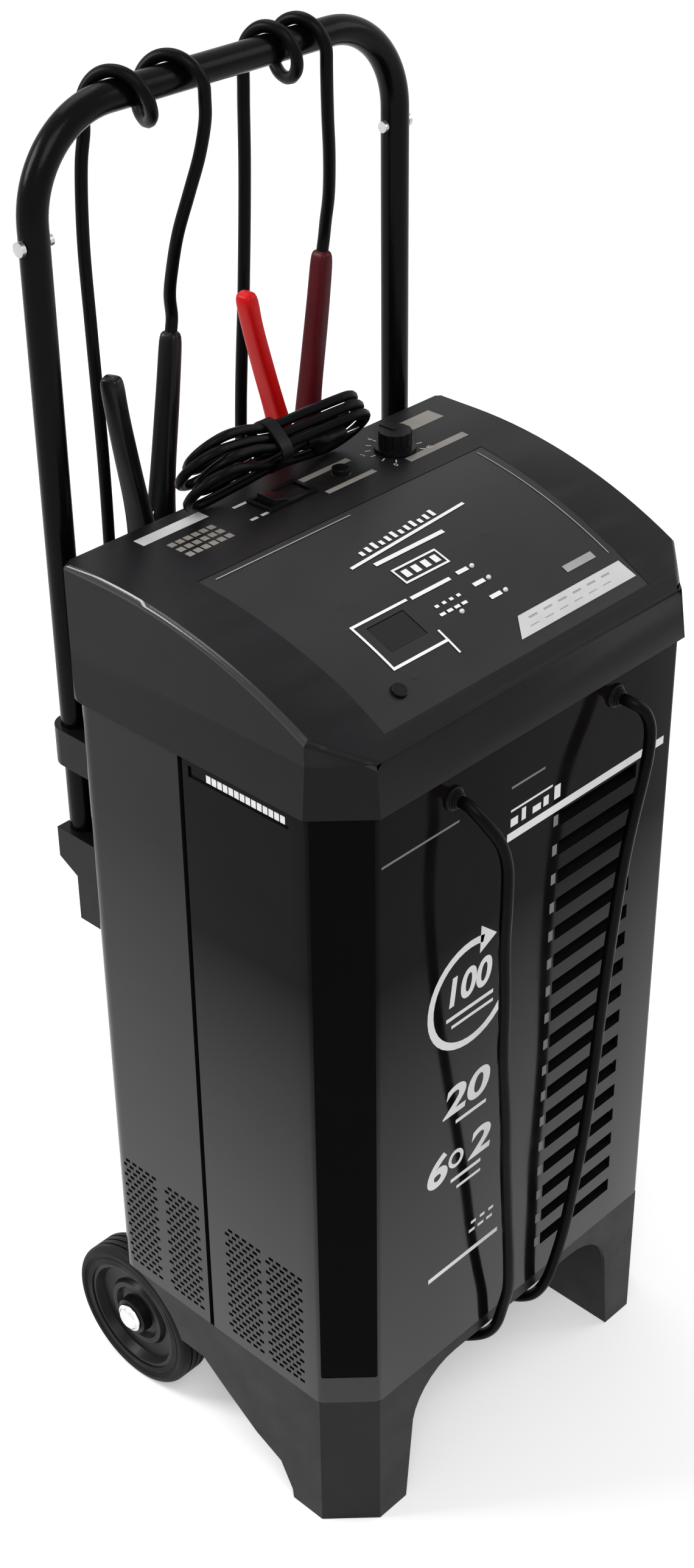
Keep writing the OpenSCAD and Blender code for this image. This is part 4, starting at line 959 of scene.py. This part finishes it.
def rear_prints():
    white = Print(on_crown(0.14))
    white.bars((-122, 210, -68, 219.5), (-50, 206, -14, 208.5))
    white.row(5, 9, (-54, 186, -48, 188.5))
    # dial of the selector: strokes round the knob and figures outside them
    x, d = 82, 192
    for a in range(-135, 136, 27):
        c, s = math.cos(math.radians(90 + a)), math.sin(math.radians(90 + a))
        white.line([(x + 16.6 * c, d + 16.6 * s), (x + 19.6 * c, d + 19.6 * s)], 0.9)
    for text, a in (("0", -135), ("2", -67), ("6", 0), ("20", 67), ("40", 128)):
        t = math.radians(90 - a)
        white.figures(text, x + 23 * math.cos(t) - 1.6 * len(text), d + 22.5 * math.sin(t) - 1.8, 3.6)
    white.piece("rear_prints", "label")
    plate = Print(on_crown(0.08))
    plate.bars((6, 178, 50, 206), (112, 203, 142, 217), (76, 172, 132, 178))
    for k in range(3):
        plate.row(6, 6.5, (-112, 180 + k * 8, -107, 185 + k * 8))
    plate.piece("rear_plates", "plate")


side_strips()
front_prints()
console_prints()
rear_prints()


# ---- Wheel caps, glands, tie and plug ----

def lathe(name, profile, seg, axis, at, flip=1):
    """Turned piece: profile of (radius, along), round the X or Y axis through at."""
    bm, rings = bmesh.new(), []
    for r, h in profile:
        turns = [(h * flip, r * c, r * s) if axis == "X" else (r * c, h * flip, r * s) for c, s in circle(seg)]
        rings.append([bm.verts.new(P(at[0] + x, at[1] + y, at[2] + z)) for x, y, z in turns])
    skin(bm, rings)
    bmesh.ops.remove_doubles(bm, verts=bm.verts, dist=1e-6)
    return from_bmesh(name, bm)


def wheel_caps():
    dome = [(5.9, 0.4), (11, 0.4), (11.2, 0.8), (11, 1.5), (9.2, 1.9), (8.8, 2.3), (8.4, 3.2), (7.4, 4.0),
            (5.6, 4.5), (3, 4.6), (0.4, 4.6)]
    parts = [lathe("cap", dome, 48, "X", (s * WHEEL_X1, HUB_D, HUB_Z), s) for s in (-1, 1)]
    join_as("axle_caps_pressed", parts, "cap", ["axle_caps"])


def join_as(name, parts, slot, stands_for, kind=None):
    bm = bmesh.new()
    for p in parts:
        bm.from_mesh(p.data)
        bpy.data.objects.remove(p)
    piece = smooth(from_bmesh(name, bm), 40)
    return place(piece, slot, stands_for, kind=kind)


def glands():
    """Moulded sleeves where the leads and the mains cord leave the housing."""
    profile = [(4.9, 2.5), (4.9, 0.2), (8, 0.2), (8.2, -0.6), (7.8, -1.8), (6.6, -2.2), (6.3, -3.2), (5.8, -3.4),
               (5.7, -4.4), (5.2, -4.6), (5.0, -5.8), (4.02, -6.3)]
    parts = [lathe("gland", profile, 40, "Y", (x, 0, z)) for x, _, z in (NEGATIVE[0], POSITIVE[0])]
    join_as("lead_glands_moulded", parts, "plug", ["lead_glands"])
    profile = [(5.9, -2), (5.9, 0.1), (8.2, 0.1), (8.4, 0.8), (8.1, 2.6), (6.9, 3.2)]
    # ribs that grow thinner towards the cord
    r = 6.4
    for i in range(6):
        h = 4.2 + i * 3.2
        profile += [(r, h), (r - 0.1, h + 1.7), (r - 0.9, h + 1.9), (r - 1.0, h + 2.9)]
        r -= 0.42
    profile += [(3.9, GLAND_LEN - 0.6), (3.3, GLAND_LEN + 0.2)]
    gland = lathe("mains_gland_moulded", profile, 40, "Y", (GLAND[0], DEEP, GLAND[1]))
    place(smooth(gland, 40), "plug", ["mains_gland"])


def band(name, centre, half, width, thick):
    """Closed strap round the hank: half is its half sizes in depth and height, width its size along X."""
    bm, loops = bmesh.new(), []
    for grow, x in ((0, -width / 2), (thick, -width / 2 + 0.5), (thick, width / 2 - 0.5), (0, width / 2)):
        loops.append([bm.verts.new(P(*leaned(centre[0] + x, centre[1] + squared(c, 0.625) * (half[0] + grow),
                                             centre[2] + squared(s, 0.625) * (half[1] + grow))))
                      for c, s in circle(48)])
    skin(bm, loops + loops[:1], capped=False)
    return smooth(from_bmesh(name, bm), 50)


def oval(centre, side, up, w, h, power, n=20):
    """Ring of points round centre, w and h being its half sizes. It grows squarer with power."""
    return [P(*(Vector(centre) + Vector(side) * squared(c, 2 / power) * w + Vector(up) * squared(s, 2 / power) * h))
            for c, s in circle(n)]


def hank_parts():
    """The hank's tie, and the plug with its two blades."""
    half = (HANK_DEEP + MAINS / 2 + 0.5, WAIST + MAINS / 2 + 1.3)
    place(band("hank_strap", (HANK_X, HANK_MID, HANK_Z), half, 10, 1.2), "bracket", ["hank_tie"])
    # place along the plug, half sizes, squareness
    sections = [(0, 4.0, 4.0, 3), (2, 4.3, 4.3, 3), (6, 5.0, 5.4, 3), (7.5, 8.6, 8.2, 4), (10, 9.8, 9.2, 5),
                (16, 9.4, 8.6, 5), (19, 9.0, 8.2, 5), (25, 9.8, 9.2, 5), (27.4, 9.6, 9.0, 5), (28, 9.0, 8.4, 5)]
    along, up = (0, math.cos(LEAN), math.sin(LEAN)), (0, -math.sin(LEAN), math.cos(LEAN))
    rings = [oval(leaned(PLUG_X + x, PLUG_D, HANK_Z), along, up, w, h, p) for x, w, h, p in sections]
    place(smooth(loft("mains_plug_body", rings), 60), "plug", ["mains_plug"])
    parts = [loft("blade", [oval(leaned(PLUG_X + x, PLUG_D + d, HANK_Z), along, up, 0.75 * k, 3.1 * k, 6, 12)
                            for x, k in ((27.6, 1), (42.6, 1), (43.7, 0.8))]) for d in (-6, 6)]
    join_as("mains_plug_blades", parts, "steel", ["mains_plug"], "cap")


wheel_caps()
glands()
hank_parts()


# ---- Clamps ----

def clamp_frame(pose):
    m = Matrix.Translation(pose[0]) @ Matrix.Rotation(math.radians(pose[1]), 4, "Z")
    return m @ Matrix.Rotation(math.radians(pose[2]), 4, "Y")


# Half of a clamp in its own plane: place of its middle line (x, z), half thickness, half width, as x grows outward
HALF_CLAMP = [(2.9, -65, 2.3, 5.6), (6.4, -62, 4.2, 6.8), (9.6, -55, 5.0, 7.8), (12.4, -45, 4.9, 8.6),
              (14.0, -34, 5.0, 9.2), (13.8, -20, 5.4, 9.7), (12.2, -8, 6.0, 9.9), (11.8, 5, 5.8, 9.9),
              (13.6, 20, 5.6, 9.0), (17.2, 37, 5.5, 8.0), (22.0, 56, 5.7, 7.6), (26.8, 75, 5.9, 7.4),
              (31.0, 92, 5.7, 7.2), (34.4, 107, 5.6, 7.0), (36.8, 118, 5.6, 6.9), (38.2, 125, 5.2, 6.5),
              (38.6, 128.4, 3.8, 5.2)]


def clamp_body(name, pose, side, slot, stands_for, body, hollow):
    """Moulded handle and jaw in one; side is 1 for the cable half and -1 for the moving half."""
    m = clamp_frame(pose)
    line = [Vector((side * x, 0, z)) for x, z, _, _ in HALF_CLAMP]
    rings = []
    for i, (p, (_, _, thick, wide)) in enumerate(zip(line, HALF_CLAMP)):
        way = (line[min(i + 1, len(line) - 1)] - line[max(i - 1, 0)]).normalized()
        out = Vector((way.z, 0, -way.x)) * side
        ring = []
        for c, s in circle(24):
            u, v = squared(c, 0.6) * thick, squared(s, 0.5) * wide
            # hollow inner face of the lever
            if hollow and c < -0.2 and 25 < p.z < 118:
                u += thick * 1.1 * (1 - s * s) * min(1, (p.z - 25) / 25, (118 - p.z) / 12)
            ring.append(P(*(m @ (p + out * u + Vector((0, v, 0))))))
        rings.append(ring)
    piece = loft(name, rings)
    s = piece.modifiers.new("soft", "SUBSURF")
    s.levels = s.render_levels = 1
    apply_all(piece)
    return place(smooth(piece, 60), slot, stands_for, body)


def clamp_teeth(name, pose, side, body):
    """Toothed copper strip inside each jaw."""
    m = clamp_frame(pose)
    edge, back = [], []
    for i in range(17):
        z = -62 + i * 2.5
        inner = 0.7 + (1.4 if i % 2 else 0.0) + 4.0 * math.sin(math.pi * min(1, max(0, (z + 48) / 20)))
        edge.append((side * inner, z))
        back.append((side * min(max(inner + 1.0, 1.0 + 0.16 * (z + 62)), inner + 4.5), z))
    piece = loft(name, [[P(*(m @ Vector((x, y, z)))) for x, z in edge + back[::-1]] for y in (-4.2, 4.2)])
    return place(smooth(piece, 20), "coil", (), body, "coil_bare")


def clamp_spring(name, pose, node):
    """Coil round the pin with its two legs in the handles."""
    m = clamp_frame(pose)
    turns, r, n, half = 4, 5.6, 16, 2.8
    points = [Vector((-14, -half, 26))]
    for i in range(turns * n + 1):
        a = math.radians(200 + 360 * i / n)
        points.append(Vector((r * math.cos(a), -half + 2 * half * i / (turns * n), r * math.sin(a))))
    points.append(Vector((14, half, 26)))
    piece, _ = tube(name, [m @ p for p in points], 1.2, 2)
    return place(piece, "screw", [node])


def clamp_pin(name, pose, node):
    """Pin with a rounded head at each end."""
    m = clamp_frame(pose)
    head = [(0.3, 11.9), (2.9, 11.8), (4.6, 11.2), (5.0, 10.5), (5.0, 10.1), (3.0, 10.1)]
    profile = head + [(r, -h) for r, h in head[::-1]]
    piece = loft(name, [[P(*(m @ Vector((r * c, h, r * s)))) for c, s in circle(24)] for r, h in profile])
    return place(smooth(piece, 40), "screw", [node])


def clamp(kind, pose, half_slot, jaw_slot):
    half = clamp_body(kind + "_handle", pose, 1, half_slot, [kind + "_clamp_half"], "charger", False)
    jaw = clamp_body(kind + "_lever", pose, -1, jaw_slot, [kind + "_clamp_jaw"], kind + "_jaw", True)
    teeth = clamp_teeth(kind + "_teeth", pose, 1, "charger")
    lever_teeth = clamp_teeth(kind + "_lever_teeth", pose, -1, kind + "_jaw")
    spring = clamp_spring(kind + "_coil", pose, kind + "_clamp_spring")
    pin = clamp_pin(kind + "_rivet", pose, kind + "_clamp_pin")
    return [half, jaw, teeth, lever_teeth, spring, pin]


negative_parts = clamp("negative", NEGATIVE_POSE, "clamp_black", "clamp_black")
positive_parts = clamp("positive", POSITIVE_POSE, "clamp_dark_red", "clamp_red")


# ---- Studio ----

def seen_rays(tree):
    """1 where the camera, a reflection or glass looks."""
    rays = tree.nodes.new("ShaderNodeLightPath").outputs
    out = combined(tree, "MAXIMUM", rays["Is Camera Ray"], rays["Is Glossy Ray"])
    return combined(tree, "MAXIMUM", out, rays["Is Transmission Ray"])


def studio():
    world = bpy.data.worlds.new("world")
    scene.world = world
    world.use_nodes = True
    t = world.node_tree
    back = t.nodes["Background"]
    back.inputs["Color"].default_value = (1, 1, 1, 1)
    t.links.new(between(t, seen_rays(t), 0.5, 1.0, 0, 1), back.inputs["Strength"])

    # floor, in metres: 18 by 18, a hair under the wheels
    corners = [(-9, -9, -0.0003), (9, -9, -0.0003), (9, 9, -0.0003), (-9, 9, -0.0003)]
    floor = from_faces("floor", corners, [(0, 1, 2, 3)])
    scene.collection.objects.link(floor)
    m, t, p = shader("floor", (0.8, 0.8, 0.8), 0.9, level=0.0)
    p.inputs["Emission Color"].default_value = (1, 1, 1, 1)
    # brighter far from the object, so that its own shadow stays
    far = t.nodes.new("ShaderNodeVectorMath")
    far.operation = "LENGTH"
    t.links.new(local(t), far.inputs[0])
    glow = combined(t, "MULTIPLY", seen_rays(t), between(t, far.outputs["Value"], 0.33, 0.62, 0.45, 2.2))
    t.links.new(glow, p.inputs["Emission Strength"])
    floor.data.materials.append(m)

    def area(name, at, to, size, power):
        """Square area lamp at one place, in metres, turned to another."""
        data = bpy.data.lights.new(name, "AREA")
        data.shape = "RECTANGLE"
        data.size = data.size_y = size
        data.energy = power
        lamp = bpy.data.objects.new(name, data)
        lamp.location = at
        lamp.rotation_euler = (Vector(to) - Vector(at)).to_track_quat("-Z", "Y").to_euler()
        scene.collection.objects.link(lamp)

    area("key", (-1.2, -1.6, 2.6), (0, 0, 0.5), 1.4, 34)
    area("fill", (1.9, -1.2, 1.9), (0, 0, 0.5), 1.2, 12)
    area("top", (0.3, 0.9, 2.6), (0, 0, 0.6), 1.2, 12)
    area("edge", (-1.05, 0.95, 1.6), (-0.17, 0, 0.66), 0.7, 22)
    scene.view_settings.view_transform = "Standard"


studio()
